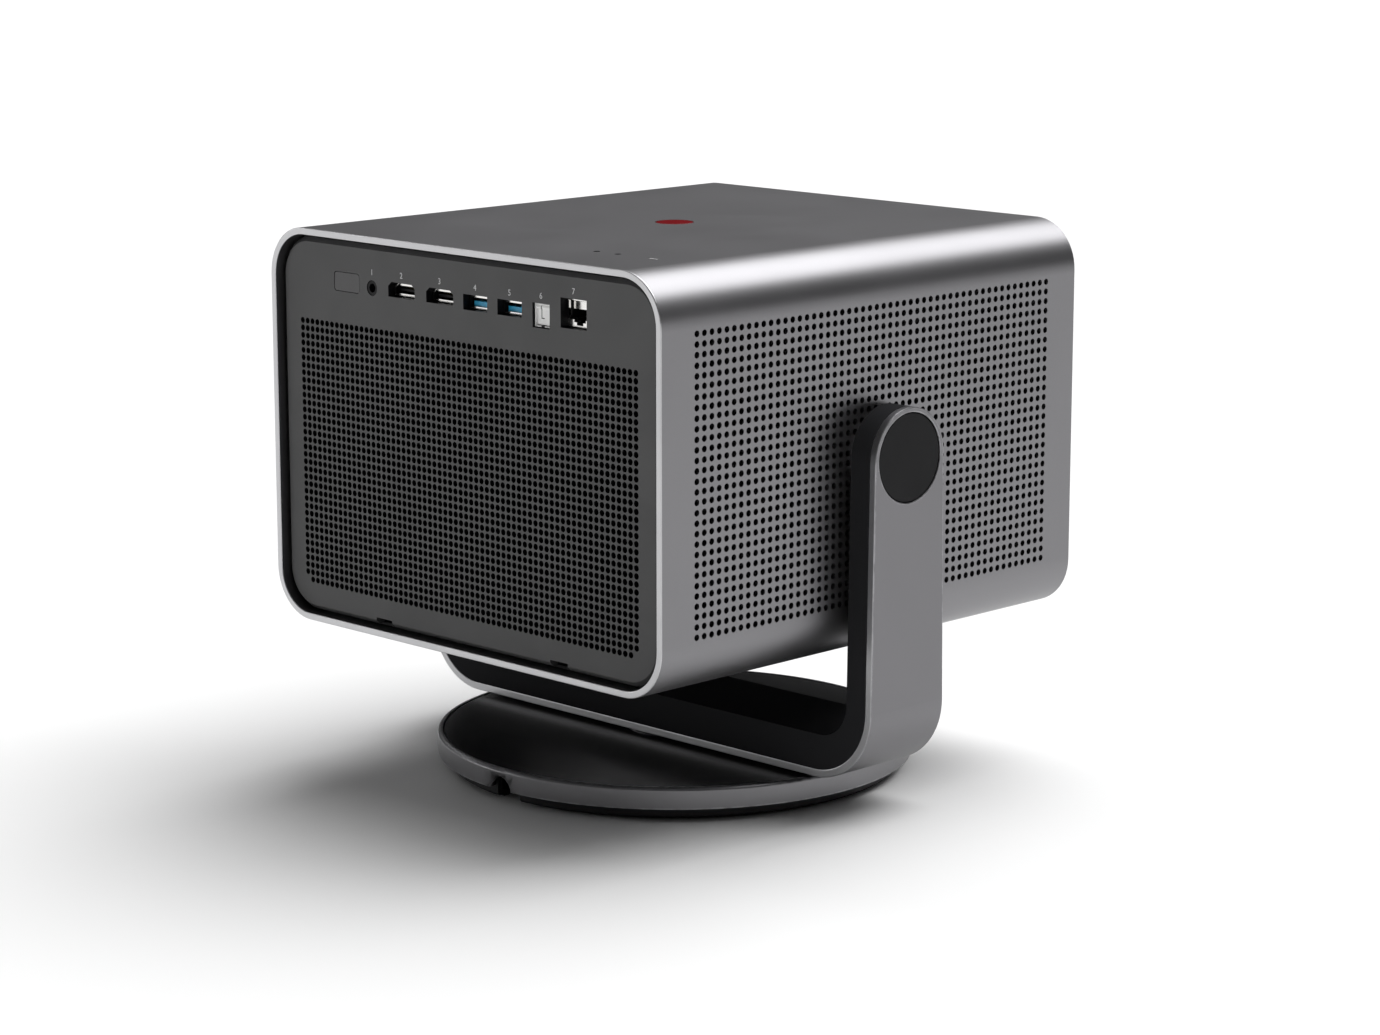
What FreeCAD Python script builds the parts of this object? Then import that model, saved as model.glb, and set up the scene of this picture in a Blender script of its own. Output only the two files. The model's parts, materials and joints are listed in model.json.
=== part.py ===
import FreeCAD, Part
import math
import os
import Sketcher

# Home video projector in a gimbal stand: a box-shaped head hangs between the arms of a tapered
# U-shaped yoke, and the yoke turns on a round weighted base.
# Frame: origin under the middle of the base, +Z up, the lens looks towards -Y, the sockets are at +Y.
# Lengths are in millimetres. "Left" and "right" are those of a person who stands behind the sockets
# and looks the way the lens looks, so right is -X.

DRIVING_SIZES = [
    # the whole object
    ("tilt_axis_z", 141.5, "height of the tilt axis above the table"),
    # aluminium sleeve of the head
    ("head_width", 220.6, "outside width of the sleeve"),
    ("head_height", 158.2, "outside height of the sleeve"),
    ("head_depth", 233.8, "length of the sleeve from lip to lip"),
    ("sleeve_corner", 19.9, "outside radius of the sleeve's long corners"),
    ("sleeve_wall", 2.7, "thickness of the sleeve, seen at its lips"),
    ("lip_chamfer", 0.6, "small bevel round both lips"),
    ("side_pitch", 19.36, "spacing of the modelled side holes, five real pitches of 3.87"),
    ("hole_side", 3.6, "width of one modelled grille hole"),
    ("boss_radius", 15.0, "plain round boss that carries the tilt axle"),
    ("boss_rise", 0.5, "height of that boss over the sleeve's side"),
    # sunk end panels
    ("panel_recess", 2.9, "depth of the end panels behind the lips"),
    ("ring_gap", 3.0, "shadow gap between the face of an end panel and the sleeve"),
    ("panel_flare", 1.8, "bevel round the rear panel, which runs out from its face into the gap"),
    ("panel_depth", 4.0, "depth of the rear panel with its skirt"),
    ("panel_skin", 2.5, "thickness of the rear panel's skin"),
    ("rear_pitch", 15.0, "spacing of the modelled rear holes, five real pitches of 3.0"),
    ("rear_grille_drop", 10.7, "centre of the rear grille below the tilt axis"),
    ("frame_depth", 4.0, "thickness of the frame behind the rear panel"),
    ("frame_open_x", 195.0, "width of the opening in that frame"),
    ("frame_open_z", 138.0, "height of the opening in that frame"),
    ("fit_gap", 0.15, "clearance of pieces that drop into the sleeve"),
    # sockets in the rear panel, places from the tilt axis
    ("hdmi_x", 34.3, "first display socket"),
    ("hdmi_step", 22.2, "spacing of the two display sockets"),
    ("hdmi_z", 59.2, "height of the display sockets"),
    ("hdmi_width", 15.0, "display socket shell"),
    ("hdmi_height", 5.3, "display socket shell"),
    ("usb_x", -8.1, "first data socket"),
    ("usb_step", 19.2, "spacing of the two data sockets"),
    ("usb_z", 58.6, "height of the data sockets"),
    ("usb_width", 13.0, "data socket shell"),
    ("usb_height", 5.5, "data socket shell"),
    ("audio_x", 51.75, "headphone socket"),
    ("audio_z", 58.6, "headphone socket"),
    ("optical_x", -44.5, "optical sound socket"),
    ("optical_z", 57.5, "optical sound socket"),
    ("optical_side", 8.8, "visible square of the optical socket"),
    ("lan_x", -62.0, "network socket"),
    ("lan_z", 59.9, "network socket"),
    ("lan_width", 13.4, "network socket shell"),
    ("lan_height", 10.7, "network socket shell"),
    ("infrared_x", 66.9, "remote control window"),
    ("infrared_z", 59.4, "remote control window"),
    ("infrared_width", 14.8, "remote control window"),
    ("infrared_height", 7.3, "remote control window"),
    ("socket_rear", 110.8, "rear face of the display, data and network sockets, set back in the panel"),
    ("cutout_gap", 0.25, "clearance round a socket in the panel"),
    ("board_under", 67.3, "underside of the main board, on which the sockets hang"),
    ("board_thick", 1.6, "thickness of every circuit board"),
    # top of the head
    ("button_radius", 7.6, "round power button"),
    ("button_gap", 0.2, "clearance round the button"),
    ("button_travel", 0.8, "how far the button goes down"),
    ("microphone_y", 86.4, "row of microphone holes and the status light"),
    # lens and front
    ("glass_thick", 2.0, "thickness of the front glass"),
    ("lens_x", 32.0, "lens axis from the middle of the head"),
    ("lens_z", 8.0, "lens axis over the tilt axis"),
    ("lens_hole", 31.0, "radius of the hole in the front glass"),
    ("barrel_bore", 20.1, "bore in which the focus carriage slides"),
    ("slide_gap", 0.08, "clearance of the focus carriage in its bore"),
    # yoke
    ("yoke_width", 252.5, "outside width of the yoke"),
    ("yoke_bottom", 15.1, "underside of the yoke"),
    ("yoke_bend", 28.9, "outside radius of the yoke's two bends"),
    ("band_thick", 3.1, "thickness of the aluminium band"),
    ("arm_end", 19.35, "radius of the round end of an arm"),
    ("arm_foot", 21.15, "half the width of the yoke at its underside"),
    ("liner_inner", 227.1, "clear width between the two arms"),
    ("crossbar_top", 32.25, "top face of the yoke's crossbar"),
    ("liner_bend", 13.5, "inside radius of the yoke's two bends"),
    ("cap_radius", 17.2, "round cap over the axle"),
    ("axle_radius", 8.0, "tilt axle"),
    ("running_gap", 0.05, "clearance of a turning shaft in its bush"),
    # base
    ("base_radius", 97.0, "outside radius of the base"),
    ("rim_bottom", 5.5, "underside of the aluminium rim"),
    ("rim_top", 14.1, "top of the aluminium rim"),
    ("rim_round", 1.5, "rounded top edge of the rim"),
    ("rim_wall", 3.5, "thickness of the rim"),
    ("web_top", 11.9, "seat of the top plate"),
    ("web_bottom", 9.4, "underside of the base's web"),
    ("boss_outer", 19.5, "boss in the middle of the base"),
    ("pan_radius", 92.4, "outside radius of the black lower pan"),
    ("pan_bottom", 0.8, "underside of the lower pan"),
    ("pan_floor", 2.8, "upper face of the pan's floor"),
    ("arch_width", 12.5, "cable arch in the rim"),
    ("arch_top", 11.0, "top of the cable arch"),
    ("spindle_radius", 12.0, "hollow spindle on which the yoke turns"),
    ("bush_outer", 15.0, "outside radius of the spindle's bush"),
    ("insert_bore", 2.55, "bore of the quarter-inch tripod insert, at its thread's crests"),
]

OUTPUT_FOLDER = "parts"
EVERYWHERE = 400.0     # longer than the object, for cuts right through
SMALL = 0.01
UP, DOWN, BOTH = 1, -1, 0     # towards the plus or the minus end of a world axis, or half to each side

DOC = FreeCAD.newDocument("GimbalProjector")
SHEET = DOC.addObject("Spreadsheet::Sheet", "Sizes")
PIECES = []


class Size:
    """A length that carries its value together with the sheet formula that it comes from."""

    def __init__(self, value, formula):
        self.value = value
        self.formula = formula

    def joined(self, other, sign, value):
        return Size(value, f"({self.formula} {sign} {as_size(other).formula})")

    def __add__(self, other):
        return self.joined(other, "+", self.value + as_size(other).value)

    def __sub__(self, other):
        return self.joined(other, "-", self.value - as_size(other).value)

    def __mul__(self, other):
        return self.joined(other, "*", self.value * as_size(other).value)

    def __truediv__(self, other):
        return self.joined(other, "/", self.value / as_size(other).value)

    def __radd__(self, other):
        return as_size(other) + self

    def __rsub__(self, other):
        return as_size(other) - self

    def __rmul__(self, other):
        return as_size(other) * self

    def __neg__(self):
        return 0 - self


def as_size(number):
    if isinstance(number, Size):
        return number
    text = f"{number:.6g}"
    return Size(float(number), f"({text})" if number < 0 else text)


class SheetSizes:
    """The driving sizes by name, each bound to its own cell of the spreadsheet."""

    def __init__(self, sheet, rows):
        for index, (alias, value, meaning) in enumerate(rows, start=1):
            sheet.set(f"A{index}", meaning)
            sheet.set(f"B{index}", str(value))
            sheet.setAlias(f"B{index}", alias)
            setattr(self, alias, Size(value, f"Sizes.{alias}"))
        DOC.recompute()


D = SheetSizes(SHEET, DRIVING_SIZES)

# Places that follow from the driving sizes, measured from the tilt axis for the head
SIDE_X = D.head_width / 2
INNER_X = SIDE_X - D.sleeve_wall
INNER_Z = D.head_height / 2 - D.sleeve_wall
PANEL_FACE = D.head_depth / 2 - D.panel_recess
PANEL_WIDTH = D.head_width - 2 * D.sleeve_wall - 2 * D.ring_gap
PANEL_HEIGHT = D.head_height - 2 * D.sleeve_wall - 2 * D.ring_gap
PANEL_CORNER = D.sleeve_corner - D.sleeve_wall - D.ring_gap
FRAME_FACE = PANEL_FACE - D.panel_depth
LINER_OUTER = D.yoke_width / 2 - D.band_thick
LINER_FACE = D.liner_inner / 2
BAND_FLOOR = D.yoke_bottom + D.band_thick


def bind(item, path, size):
    """Tie one property to its formula."""
    item.setExpression(path, as_size(size).formula)


def new_body(label, at=(0, 0, 0)):
    """Start one piece. Its sketches are measured from the point given by at."""
    body = DOC.addObject("PartDesign::Body", label)
    body.Label = label
    for axis, size in zip("xyz", at):
        bind(body, f"Placement.Base.{axis}", size)
    PIECES.append(body)
    return body


def head_body(label, x=0, y=0, z=0):
    """Start one piece of the head, measured from the middle of the tilt axis."""
    return new_body(label, (x, y, D.tilt_axis_z + z))


def origin_item(body, role):
    return next(item for item in body.Origin.OriginFeatures if item.Role == role)


def new_sketch(body, plane, offset=0):
    """Sketch on XY, XZ or YZ, moved by offset along the plane's world axis.

    A sketch on XZ looks along -Y, so its own normal is -Y and the offset changes sign."""
    sketch = body.newObject("Sketcher::SketchObject", "Sketch")
    sketch.AttachmentSupport = [(origin_item(body, plane + "_Plane"), "")]
    sketch.MapMode = "FlatFace"
    bind(sketch, ".AttachmentOffset.Base.z", -as_size(offset) if plane == "XZ" else offset)
    return sketch


def fix_point(sketch, edge, end, x, y):
    for kind, size in (("DistanceX", as_size(x)), ("DistanceY", as_size(y))):
        index = sketch.addConstraint(Sketcher.Constraint(kind, -1, 1, edge, end, size.value))
        bind(sketch, f"Constraints[{index}]", size)


def fix_radius(sketch, edge, radius):
    index = sketch.addConstraint(Sketcher.Constraint("Radius", edge, as_size(radius).value))
    bind(sketch, f"Constraints[{index}]", radius)


def outline(sketch, corners):
    """Closed outline of straight edges. Returns the number of its first edge."""
    first = sketch.GeometryCount
    points = [FreeCAD.Vector(as_size(x).value, as_size(y).value, 0) for x, y in corners]
    count = len(points)
    for index, point in enumerate(points):
        sketch.addGeometry(Part.LineSegment(point, points[(index + 1) % count]))
    for index, (x, y) in enumerate(corners):
        edge, following = first + index, first + (index + 1) % count
        sketch.addConstraint(Sketcher.Constraint("Coincident", edge, 2, following, 1))
        fix_point(sketch, edge, 1, x, y)
    return first


def rectangle(sketch, width, height, x=0, y=0):
    left, right = as_size(x) - as_size(width) / 2, as_size(x) + as_size(width) / 2
    low, high = as_size(y) - as_size(height) / 2, as_size(y) + as_size(height) / 2
    return outline(sketch, [(left, low), (right, low), (right, high), (left, high)])


def rounded_rectangle(sketch, width, height, corner):
    """Rectangle about the origin whose corners are arcs that meet the sides smoothly."""
    reach_x, reach_y = as_size(width) / 2 - corner, as_size(height) / 2 - corner
    radius = as_size(corner).value
    first = sketch.GeometryCount
    quarter = math.pi / 2
    arcs = []
    for index, (side_x, side_y) in enumerate(((1, 1), (-1, 1), (-1, -1), (1, -1))):
        centre = FreeCAD.Vector((reach_x * side_x).value, (reach_y * side_y).value, 0)
        whole = Part.Circle(centre, FreeCAD.Vector(0, 0, 1), radius)
        arcs.append(Part.ArcOfCircle(whole, index * quarter, (index + 1) * quarter))
    for arc, following in zip(arcs, arcs[1:] + arcs[:1]):
        sketch.addGeometry(arc)
        sketch.addGeometry(Part.LineSegment(arc.EndPoint, following.StartPoint))
    for index, (side_x, side_y) in enumerate(((1, 1), (-1, 1), (-1, -1), (1, -1))):
        arc = first + 2 * index
        following = first + (2 * index + 2) % 8
        sketch.addConstraint(Sketcher.Constraint("Tangent", arc, 2, arc + 1, 1))
        sketch.addConstraint(Sketcher.Constraint("Tangent", arc + 1, 2, following, 1))
        fix_point(sketch, arc, 3, reach_x * side_x, reach_y * side_y)
        fix_radius(sketch, arc, corner)


def circle(sketch, radius, x=0, y=0):
    centre = FreeCAD.Vector(as_size(x).value, as_size(y).value, 0)
    edge = sketch.addGeometry(Part.Circle(centre, FreeCAD.Vector(0, 0, 1), as_size(radius).value))
    fix_radius(sketch, edge, radius)
    fix_point(sketch, edge, 3, x, y)
    return edge


def newest_volume(body):
    DOC.recompute()
    return body.Shape.Volume


def checked(body, feature, before, grows):
    """Stop if a feature did nothing, as when a cut points away from the solid."""
    after = newest_volume(body)
    if (after - before) * (1 if grows else -1) < SMALL:
        raise RuntimeError(f"{body.Label}: {feature.Name} changed {before:.2f} to {after:.2f}")
    return feature


def extrude(body, kind, sketch, length, way):
    """Extrude a sketch along its plane's world axis: way is UP, DOWN or BOTH."""
    feature = body.newObject("PartDesign::" + kind, kind)
    feature.Profile = sketch
    bind(feature, "Length", length)
    feature.SideType = "Symmetric" if way == BOTH else "One side"
    normal_points_down = sketch.AttachmentSupport[0][0].Role == "XZ_Plane"
    starts_against_normal = kind == "Pocket"
    goes_down = normal_points_down != starts_against_normal
    feature.Reversed = way != BOTH and goes_down != (way == DOWN)
    return feature


def pad(body, sketch, length, way):
    before = 0 if body.Tip is None else newest_volume(body)
    return checked(body, extrude(body, "Pad", sketch, length, way), before, True)


def pocket(body, sketch, depth, way):
    before = newest_volume(body)
    return checked(body, extrude(body, "Pocket", sketch, depth, way), before, False)


def pocket_through(body, sketch):
    return pocket(body, sketch, EVERYWHERE, BOTH)


def revolve(body, sketch, axis):
    feature = body.newObject("PartDesign::Revolution", "Revolution")
    feature.Profile = sketch
    feature.ReferenceAxis = (sketch, [axis])
    feature.Angle = 360
    return feature


def turned(body, plane, axis, corners):
    sketch = new_sketch(body, plane)
    outline(sketch, corners)
    return revolve(body, sketch, axis)


def upright_turned(body, corners):
    """Turned about Z: a corner is (radius, height)."""
    return turned(body, "XZ", "V_Axis", corners)


def lengthwise_turned(body, corners):
    """Turned about Y: a corner is (radius, place along Y)."""
    return turned(body, "XY", "V_Axis", corners)


def crosswise_turned(body, corners):
    """Turned about X: a corner is (place along X, radius)."""
    return turned(body, "XY", "H_Axis", corners)


def grid(body, feature, across, up=None):
    """Repeat a feature. across and up are (sketch direction, count, step)."""
    pattern = body.newObject("PartDesign::LinearPattern", "Pattern")
    pattern.Originals = [feature]
    sketch = feature.Profile[0]
    pattern.Direction = (sketch, [across[0]])
    pattern.Occurrences = across[1]
    bind(pattern, "Length", as_size(across[2]) * (across[1] - 1))
    if up:
        pattern.Direction2 = (sketch, [up[0]])
        pattern.Occurrences2 = up[1]
        bind(pattern, "Length2", as_size(up[2]) * (up[1] - 1))
    body.Tip = pattern
    return pattern


def polar(body, features, count):
    """Repeat features round the axis of the first one's sketch."""
    pattern = body.newObject("PartDesign::PolarPattern", "Polar")
    pattern.Originals = features
    pattern.Axis = (features[0].Profile[0], ["N_Axis"])
    pattern.Angle = 360
    pattern.Occurrences = count
    body.Tip = pattern
    return pattern


def mirrored(body, features, role="YZ_Plane"):
    """Add the twin on the other side."""
    twin = body.newObject("PartDesign::Mirrored", "Mirrored")
    twin.Originals = features
    twin.MirrorPlane = (origin_item(body, role), [""])
    body.Tip = twin
    return twin


def edge_names(shape, wanted):
    return [f"Edge{index}" for index, edge in enumerate(shape.Edges, start=1) if wanted(edge)]


def along(edge, axis):
    """True for a straight edge that runs along X, Y or Z."""
    if not isinstance(edge.Curve, Part.Line):
        return False
    direction = edge.tangentAt(edge.FirstParameter)
    return abs(abs(getattr(direction, axis)) - 1) < 1e-6


def dress(body, kind, size_name, size, wanted):
    """Fillet or chamfer the edges of the newest feature that pass the test."""
    DOC.recompute()
    base = body.Tip
    names = edge_names(base.Shape, wanted)
    if not names:
        raise RuntimeError(f"{body.Label}: no edges found for {kind}")
    feature = body.newObject("PartDesign::" + kind, kind)
    feature.Base = (base, names)
    bind(feature, size_name, size)
    DOC.recompute()
    return feature


def round_edges(body, radius, wanted):
    return dress(body, "Fillet", "Radius", radius, wanted)


def bevel_edges(body, size, wanted):
    return dress(body, "Chamfer", "Size", size, wanted)


def middle(edge):
    return edge.valueAt((edge.FirstParameter + edge.LastParameter) / 2)


def upright_plate(body, offset, width, height, thick, corner, way):
    """Flat plate across the Y axis, with four round corners."""
    sketch = new_sketch(body, "XZ", offset)
    rounded_rectangle(sketch, width, height, corner)
    pad(body, sketch, thick, way)


# Base

def base_rim():
    """Die-cast aluminium tray: the bright rim, the web and the boss for the spindle."""
    body = new_body("base_rim")
    inside = D.base_radius - D.rim_wall
    seat = inside + 1.4
    upright_turned(body, [
        (D.base_radius, D.rim_bottom), (D.base_radius, D.rim_top), (seat, D.rim_top), (seat, D.web_top),
        (D.boss_outer, D.web_top), (D.boss_outer, D.rim_top), (D.bush_outer, D.rim_top),
        (D.bush_outer, D.web_bottom), (inside, D.web_bottom), (inside, D.rim_bottom)])
    round_edges(body, D.rim_round, lambda edge: (
        edge.BoundBox.ZMin > D.rim_top.value - SMALL and edge.BoundBox.XMax > D.base_radius.value - SMALL))
    screw_posts(body)
    arch = new_sketch(body, "XZ", D.base_radius + 2)
    circle(arch, D.arch_width / 2, 0, D.arch_top - D.arch_width / 2)
    pocket(body, arch, D.rim_wall + 5, DOWN)


BASE_SCREW_REACH = 54.5     # places of the base's screws, along X and along Y


def screw_posts(body):
    """Four posts under the web that take the screws of the lower pan."""
    post_radius, bore = 3.4, 1.3
    post = new_sketch(body, "XY", D.pan_floor)
    circle(post, post_radius, BASE_SCREW_REACH, BASE_SCREW_REACH)
    polar(body, [pad(body, post, D.web_bottom - D.pan_floor + 0.2, UP)], 4)
    hole = new_sketch(body, "XY", D.pan_floor - 1)
    circle(hole, bore, BASE_SCREW_REACH, BASE_SCREW_REACH)
    polar(body, [pocket(body, hole, 7, UP)], 4)


def base_top_plate():
    """Glossy black plate that lies in the rim, with a bevel round its edge."""
    body = new_body("base_top_plate")
    outer = D.base_radius - D.rim_wall + 1.25
    top = D.rim_top - 0.2
    bevel = 0.5
    upright_turned(body, [(D.boss_outer + 0.25, D.web_top), (outer, D.web_top), (outer, top - bevel),
                          (outer - bevel, top), (D.boss_outer + 0.25, top)])


def base_lower_pan():
    """Black moulded pan that closes the base from below."""
    body = new_body("base_lower_pan")
    wall = 2.5
    groove_in, groove_out, groove_top = 81.8, 89.2, 1.7
    boss = 6.5
    upright_turned(body, [
        (D.insert_bore + 2.5, D.pan_bottom), (groove_in, D.pan_bottom), (groove_in, groove_top),
        (groove_out, groove_top), (groove_out, D.pan_bottom), (D.pan_radius - 0.8, D.pan_bottom),
        (D.pan_radius, D.pan_bottom + 0.8), (D.pan_radius, D.web_bottom - 0.1),
        (D.pan_radius - wall, D.web_bottom - 0.1), (D.pan_radius - wall, D.pan_floor),
        (boss + 1.5, D.pan_floor), (boss, D.pan_floor + 3.6), (D.insert_bore + 2.5, D.pan_floor + 3.6)])
    channel = new_sketch(body, "XY", 0)
    rectangle(channel, D.arch_width, 25, 0, 83)
    pocket(body, channel, 20, UP)
    screw_hole = new_sketch(body, "XY", 0)
    circle(screw_hole, 1.5, BASE_SCREW_REACH, BASE_SCREW_REACH)
    polar(body, [pocket(body, screw_hole, D.pan_floor + 0.5, UP)], 4)


def foot_ring():
    """Rubber ring on which the projector stands, open where the cable channel crosses it."""
    body = new_body("foot_ring")
    inner, outer, top = 82.0, 89.0, 1.7
    upright_turned(body, [(inner, 0), (outer, 0), (outer, top), (inner, top)])
    gap = new_sketch(body, "XY", -1)
    rectangle(gap, D.arch_width + 1, 12, 0, 85)
    pocket(body, gap, 4, UP)


def base_weight():
    """Steel ballast ring, held under the web."""
    body = new_body("base_weight")
    inner, outer = 30.0, 70.0
    bottom = D.pan_floor + 0.1
    upright_turned(body, [(inner, bottom), (outer, bottom), (outer, D.web_bottom - 0.1),
                          (inner, D.web_bottom - 0.1)])


def power_socket():
    """Round low-voltage inlet behind the cable arch: a moulded block, its bore and its contact pin."""
    body = new_body("power_socket", (0, 82, 5.2))
    width, height, length = 11.0, 8.0, 11.5
    bore, pin, bore_depth = 3.15, 1.0, 10.0
    block = new_sketch(body, "XZ", 0)
    rectangle(block, width, height)
    pad(body, block, length, DOWN)
    mouth = new_sketch(body, "XZ", 0)
    circle(mouth, bore)
    circle(mouth, pin)
    pocket(body, mouth, bore_depth, DOWN)


def tripod_insert():
    """Brass insert with the tripod thread, in the middle of the underside."""
    body = new_body("tripod_insert")
    outer = D.insert_bore + 2.45
    upright_turned(body, [(D.insert_bore, D.pan_bottom), (outer, D.pan_bottom),
                          (outer, D.pan_floor + 3.6), (D.insert_bore, D.pan_floor + 3.6)])


def base_screws():
    """Four pan-head screws that hold the lower pan."""
    body = new_body("base_screws")
    bottom = 0.15
    shank = new_sketch(body, "XY", bottom)
    circle(shank, 1.25, BASE_SCREW_REACH, BASE_SCREW_REACH)
    stem = pad(body, shank, 7, UP)
    head = new_sketch(body, "XY", bottom)
    circle(head, 2.8, BASE_SCREW_REACH, BASE_SCREW_REACH)
    cap = pad(body, head, D.pan_bottom - bottom, UP)
    polar(body, [stem, cap], 4)


def pan_bush():
    """Plain bush in which the spindle turns."""
    body = new_body("pan_bush")
    inner = D.spindle_radius + D.running_gap
    upright_turned(body, [(inner, D.web_bottom), (D.bush_outer - 0.03, D.web_bottom),
                          (D.bush_outer - 0.03, D.rim_top), (inner, D.rim_top)])


def slip_washer():
    """Low-friction washer between the base and the yoke; its edge is the thin dark line there."""
    body = new_body("slip_washer")
    upright_turned(body, [(13.0, D.rim_top), (D.boss_outer - 0.5, D.rim_top),
                          (D.boss_outer - 0.5, D.yoke_bottom - D.running_gap),
                          (13.0, D.yoke_bottom - D.running_gap)])


# Yoke

def arm_silhouette(sketch):
    """Side view of the yoke inside a larger frame: it tapers up to a round end about the tilt axis."""
    rectangle(sketch, 160, 400, 0, 150)
    foot, end = D.arm_foot, D.arm_end
    rise = (D.tilt_axis_z - D.yoke_bottom).value
    touch_angle = math.acos(end.value / math.hypot(foot.value, rise)) - math.atan2(rise, foot.value)
    centre = FreeCAD.Vector(0, D.tilt_axis_z.value, 0)
    touch = centre + FreeCAD.Vector(math.cos(touch_angle), math.sin(touch_angle), 0) * end.value
    top = centre + FreeCAD.Vector(0, end.value, 0)
    mirror_touch = FreeCAD.Vector(-touch.x, touch.y, 0)
    low_right = FreeCAD.Vector(foot.value, D.yoke_bottom.value, 0)
    low_left = FreeCAD.Vector(-foot.value, D.yoke_bottom.value, 0)
    right = sketch.addGeometry(Part.LineSegment(low_right, touch))
    arc = sketch.addGeometry(Part.Arc(touch, top, mirror_touch))
    left = sketch.addGeometry(Part.LineSegment(mirror_touch, low_left))
    base = sketch.addGeometry(Part.LineSegment(low_left, low_right))
    sketch.addConstraint(Sketcher.Constraint("Tangent", right, 2, arc, 1))
    sketch.addConstraint(Sketcher.Constraint("Tangent", arc, 2, left, 1))
    sketch.addConstraint(Sketcher.Constraint("Coincident", left, 2, base, 1))
    sketch.addConstraint(Sketcher.Constraint("Coincident", base, 2, right, 1))
    fix_point(sketch, base, 1, -foot, D.yoke_bottom)
    fix_point(sketch, base, 2, foot, D.yoke_bottom)
    fix_point(sketch, arc, 3, 0, D.tilt_axis_z)
    fix_radius(sketch, arc, end)


def u_shape(body, outer, floor, inner, inner_floor, outer_bend, inner_bend):
    """A U bent from a bar, then trimmed to the tapered side view."""
    top = D.tilt_axis_z + D.arm_end + 4
    sketch = new_sketch(body, "XZ")
    outline(sketch, [(-outer, floor), (outer, floor), (outer, top), (inner, top), (inner, inner_floor),
                     (-inner, inner_floor), (-inner, top), (-outer, top)])
    pad(body, sketch, 60, BOTH)
    near_floor = floor.value + SMALL
    round_edges(body, outer_bend, lambda edge: along(edge, "y") and middle(edge).z < near_floor)
    round_edges(body, inner_bend, lambda edge: (
        along(edge, "y") and abs(middle(edge).z - inner_floor.value) < SMALL))
    side = new_sketch(body, "YZ")
    arm_silhouette(side)
    pocket_through(body, side)


def yoke_band():
    """Aluminium band of the yoke, bent to a U, with a round seat for each cap."""
    body = new_body("yoke_band")
    half = D.yoke_width / 2
    u_shape(body, half, D.yoke_bottom, half - D.band_thick, BAND_FLOOR, D.yoke_bend,
            D.yoke_bend - D.band_thick)
    seats = new_sketch(body, "YZ")
    circle(seats, D.cap_radius + 0.2, 0, D.tilt_axis_z)
    pocket_through(body, seats)
    hole = new_sketch(body, "XY")
    circle(hole, D.spindle_radius + 0.2)
    pocket(body, hole, 30, UP)


def yoke_liner():
    """Black inner part of the yoke. It carries the tilt bushes and the spindle's flange."""
    body = new_body("yoke_liner")
    u_shape(body, LINER_OUTER, BAND_FLOOR, LINER_FACE, D.crossbar_top, D.yoke_bend - D.band_thick,
            D.liner_bend)
    bores = new_sketch(body, "YZ")
    circle(bores, TILT_BUSH_OUTER + 0.03, 0, D.tilt_axis_z)
    pocket_through(body, bores)
    for side in (1, -1):
        recess = new_sketch(body, "YZ", LINER_OUTER * side)
        circle(recess, NUT_RADIUS + 1.2, 0, D.tilt_axis_z)
        pocket(body, recess, NUT_RECESS, -side)
    flange_seat = new_sketch(body, "XY", BAND_FLOOR)
    circle(flange_seat, FLANGE_RADIUS + 0.2)
    pocket(body, flange_seat, FLANGE_THICK + 0.1, UP)


TILT_BUSH_OUTER = 11.0
NUT_RADIUS, NUT_THICK, NUT_RECESS = 11.2, 2.5, 3.5
FLANGE_RADIUS, FLANGE_THICK = 19.0, 3.5


def pivot_cap(label, side):
    """Dark round cap that lies in the band and hides the axle's nut."""
    body = new_body(label, (0, 0, D.tilt_axis_z))
    inside, outside, bevel = LINER_OUTER, D.yoke_width / 2 - 0.3, 0.4
    crosswise_turned(body, [(inside * side, 0), (outside * side, 0), (outside * side, D.cap_radius - bevel),
                            ((outside - bevel) * side, D.cap_radius), (inside * side, D.cap_radius)])


def tilt_bushes():
    """Two flanged bushes in the arms, one for each axle."""
    body = new_body("tilt_bushes", (0, 0, D.tilt_axis_z))
    inner = D.axle_radius + D.running_gap
    feature = crosswise_turned(body, [
        (LINER_FACE, inner), (LINER_OUTER - NUT_RECESS, inner),
        (LINER_OUTER - NUT_RECESS, TILT_BUSH_OUTER), (LINER_FACE, TILT_BUSH_OUTER)])
    mirrored(body, [feature])


def pan_spindle():
    """Hollow spindle of the yoke, with the flange that is clamped between band and liner."""
    body = new_body("pan_spindle")
    bore, bottom = 6.0, 6.9
    upright_turned(body, [
        (bore, bottom), (D.spindle_radius, bottom), (D.spindle_radius, BAND_FLOOR), (FLANGE_RADIUS, BAND_FLOOR),
        (FLANGE_RADIUS, BAND_FLOOR + FLANGE_THICK), (bore, BAND_FLOOR + FLANGE_THICK)])


def spindle_nut():
    """Flat nut that keeps the spindle in the base."""
    body = new_body("spindle_nut")
    thick, slot_width, radius = 2.2, 4.0, 17.0
    upright_turned(body, [(D.spindle_radius, 6.9), (radius, 6.9), (radius, 6.9 + thick),
                          (D.spindle_radius, 6.9 + thick)])
    slot = new_sketch(body, "XY", 5)
    rectangle(slot, slot_width, 3.0, 0, 16.5)
    polar(body, [pocket(body, slot, 6, UP)], 4)


# Housing of the head

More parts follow.
